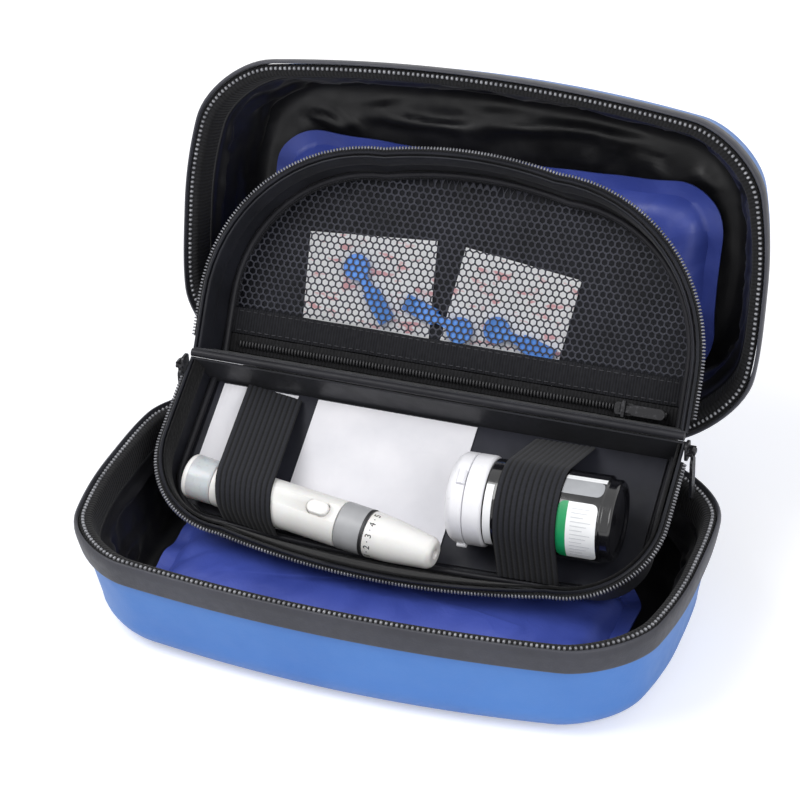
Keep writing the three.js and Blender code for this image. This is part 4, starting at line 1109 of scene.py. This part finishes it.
def patch(x0, x1, from_angle, to_angle, lift=0.12, round_start=0, round_end=0):
    """Thin patch wrapped on the bottle; angles in degrees from its top toward the front."""
    low, high = [], []
    for x in np.linspace(x0, x1, 44):
        cut = 0
        for radius, inside in ((round_start, x - x0), (round_end, x1 - x)):
            if inside < radius:
                cut = radius - math.sqrt(radius ** 2 - (radius - inside) ** 2)
        spare = math.degrees(cut / BOTTLE_RADIUS)
        a = np.radians(np.linspace(from_angle + spare, to_angle - spare, 48))
        for rows, r in ((low, BOTTLE_RADIUS + lift / 12), (high, BOTTLE_RADIUS + lift)):
            rows.append(xyz(x, -r * np.sin(a), r * np.cos(a)))
    return plate(np.array(low), np.array(high))


for name, material, shape in (
    ("label_upper", label_grey, patch(38.5, 52, -26, -2, round_end=2.2)),
    ("label_upper_edge", label_white, patch(38.5, 52, -34, -26)),
    ("label_lower", label_white, patch(41.6, 51.5, 8, 92, round_end=2.2)),
    ("label_stripe", label_green, patch(38.4, 41.6, 8, 92, round_start=2.2)),
    ("label_edge", label_white, patch(13.8, 16.4, 2, 95)),
):
    build(name, shape, BOTTLE, "tray", material)
# Lines of print: degrees round the bottle, then millimetres along it
LINE_COUNT, FIRST_LINE, LINE_STEP, LINE_WIDTH = 13, 16, 5.6, 1.3
LINE_START, LINE_END, LINE_RAG, LINE_LIFT = 43, 49.8, 1.3, 0.15
lines = Surface()
for number in range(LINE_COUNT):
    angle = FIRST_LINE + LINE_STEP * number
    lines.add(patch(LINE_START, LINE_END - LINE_RAG * (number % 3), angle, angle + LINE_WIDTH, LINE_LIFT))
build("label_lines", lines, BOTTLE, "tray", label_print)


# Lancets
def lancet_outline(head=4.6, neck=1.6, neck_length=10, body=2.9, length=12):
    opening = math.asin(neck / head)
    a = np.linspace(opening, 2 * math.pi - opening, 40)
    arc = np.stack([-neck_length + head * np.cos(a), head * np.sin(a)], -1)
    return np.vstack([arc, [(0, -neck), (0, -body), (length, -body), (length, body), (0, body), (0, neck)]])


def slab(outline, thickness, ease=0.3):
    """Plate with softened top and bottom edges."""
    middle = outline.mean(axis=0)
    shrink = 1 - ease / np.abs(outline - middle).max()
    rows = []
    for z, k in ((0, shrink), (ease * 0.6, 1), (thickness - ease * 0.6, 1), (thickness, shrink)):
        rows.append(np.insert(middle + (outline - middle) * k, 2, z, axis=1))
    surface = Surface().grid(rows, wrap_cols=True)
    for row in (rows[0], rows[-1]):
        surface.polygons(row, [list(range(len(row)))])
    return surface


lancet_z = -FLAP_HEIGHT + 2 * GAP + PAD_THICKNESS
for number, (x, s, turned) in enumerate(((-0.41, 0.41, -50), (-0.111, 0.34, 162), (0.281, 0.29, -16)), 1):
    where = FLAP @ shift(x * FLAP_FLOOR_HALF, s * FLAP_FLOOR_DEPTH, lancet_z) @ turn(turned, "Z")
    shape = slab(lancet_outline(), LANCET_THICKNESS)
    build(f"lancet_body_{number}", shape, where, "flap", lancet_blue, f"lancet_{number}", 50)


# CAD pieces that stay: merged and shaded by angle, with sliders and pulls softly bevelled
def smooth_group(sharpest=35):
    tree = bpy.data.node_groups.new("smooth_by_angle", "GeometryNodeTree")
    for way in ("INPUT", "OUTPUT"):
        tree.interface.new_socket("Geometry", in_out=way, socket_type="NodeSocketGeometry")
    node = Nodes(tree).node
    angle = node("GeometryNodeInputMeshEdgeAngle").outputs["Unsigned Angle"]
    limits = {0: angle, 1: math.radians(sharpest)}
    gentle = node("FunctionNodeCompare", limits, data_type="FLOAT", operation="LESS_EQUAL").outputs["Result"]
    chain = [
        node("NodeGroupInput"),
        node("GeometryNodeRemoveAttribute", {"Name": "custom_normal"}),
        node("GeometryNodeMergeByDistance", {"Distance": MERGE_DISTANCE}),
        node("GeometryNodeSetShadeSmooth"),
        node("GeometryNodeSetShadeSmooth", {"Shade Smooth": gentle}, domain="EDGE"),
        node("NodeGroupOutput"),
    ]
    for before, after in zip(chain, chain[1:]):
        tree.links.new(before.outputs[0], after.inputs[0])
    return tree


smoothing = smooth_group()
kept = {
    "board": board_nylon, "hinge_strip": grey_band, "slider": slider_enamel, "pull": slider_enamel,
    "carrier": grey_plastic,
}
for name, obj in frame["nodes"].items():
    for word, material in kept.items():
        if name.endswith(word):
            obj.data.materials.clear()
            obj.data.materials.append(material)
            obj.modifiers.new("smooth", "NODES").node_group = smoothing
            if word in ("slider", "pull"):
                bevel = obj.modifiers.new("bevel", "BEVEL")
                bevel.width, bevel.segments, bevel.limit_method = 0.0001, 2, "ANGLE"

# Floor, light and camera, in metres
FLOOR_HALF, FLOOR_Z = 4, -0.0004
WORLD_LEVEL, FLOOR_GLOW = 0.56, 0.35
LOOK_AT = Vector((0, 0, 0.05))
LAMPS = {"key": ((-0.7, -0.6, 1.3), 0.9, 14), "fill": ((0.9, -0.7, 0.8), 0.8, 8)}
EYE = (0.27969, -0.70387, 0.56993)
EYE_RIGHT, EYE_UP, EYE_BACK = (
    (0.93768, 0.34616, -0.03051), (-0.16292, 0.51546, 0.84129), (0.30695, -0.78388, 0.53973)
)


def add(name, data):
    obj = bpy.data.objects.new(name, data)
    scene.collection.objects.link(obj)
    return obj


def floor_finish():
    f = Finish("floor_white", Roughness=0.9, Emission_Color=(1, 1, 1, 1))
    f.color(f.noise(60, 2), (236, 236, 238), (240, 240, 242))
    seen = f.node("ShaderNodeLightPath").outputs["Is Camera Ray"]
    f.feed(f.shader["Emission Strength"], f.maths("MULTIPLY", seen, FLOOR_GLOW))
    return f.material


floor = bpy.data.meshes.new("floor")
corners = [(x * FLOOR_HALF, y * FLOOR_HALF, FLOOR_Z) for x, y in ((-1, -1), (1, -1), (1, 1), (-1, 1))]
floor.from_pydata(corners, [], [(0, 1, 2, 3)])
floor.materials.append(floor_finish())
floor_piece = add("floor", floor)

# The world is white where it is seen or mirrored, and dimmer as a light
world = bpy.data.worlds.new("studio")
scene.world = world
world.use_nodes = True
sky = Nodes(world.node_tree)
rays = sky.node("ShaderNodeLightPath").outputs
seen = rays["Is Camera Ray"]
for extra in ("Is Glossy Ray", "Is Transmission Ray"):
    seen = sky.maths("MAXIMUM", seen, rays[extra])
background = sky.tree.nodes["Background"].inputs
sky.feed(background["Color"], (1, 1, 1, 1))
sky.feed(background["Strength"], sky.between(seen, WORLD_LEVEL, 1, 0, 1))

for name, (spot, size, power) in LAMPS.items():
    light = bpy.data.lights.new(name, "AREA")
    light.size, light.energy = size, power
    lamp = add(name, light)
    lamp.location = spot
    lamp.rotation_euler = (LOOK_AT - lamp.location).to_track_quat("-Z", "Y").to_euler()

camera = bpy.data.cameras.new("camera")
camera.sensor_width, camera.lens = 36, 125.946
camera.clip_start, camera.clip_end = 0.05, 20
eye = add("camera", camera)
turned = Matrix((EYE_RIGHT, EYE_UP, EYE_BACK)).transposed().to_4x4()
eye.matrix_world = Matrix.Translation(EYE) @ turned
scene.camera = eye
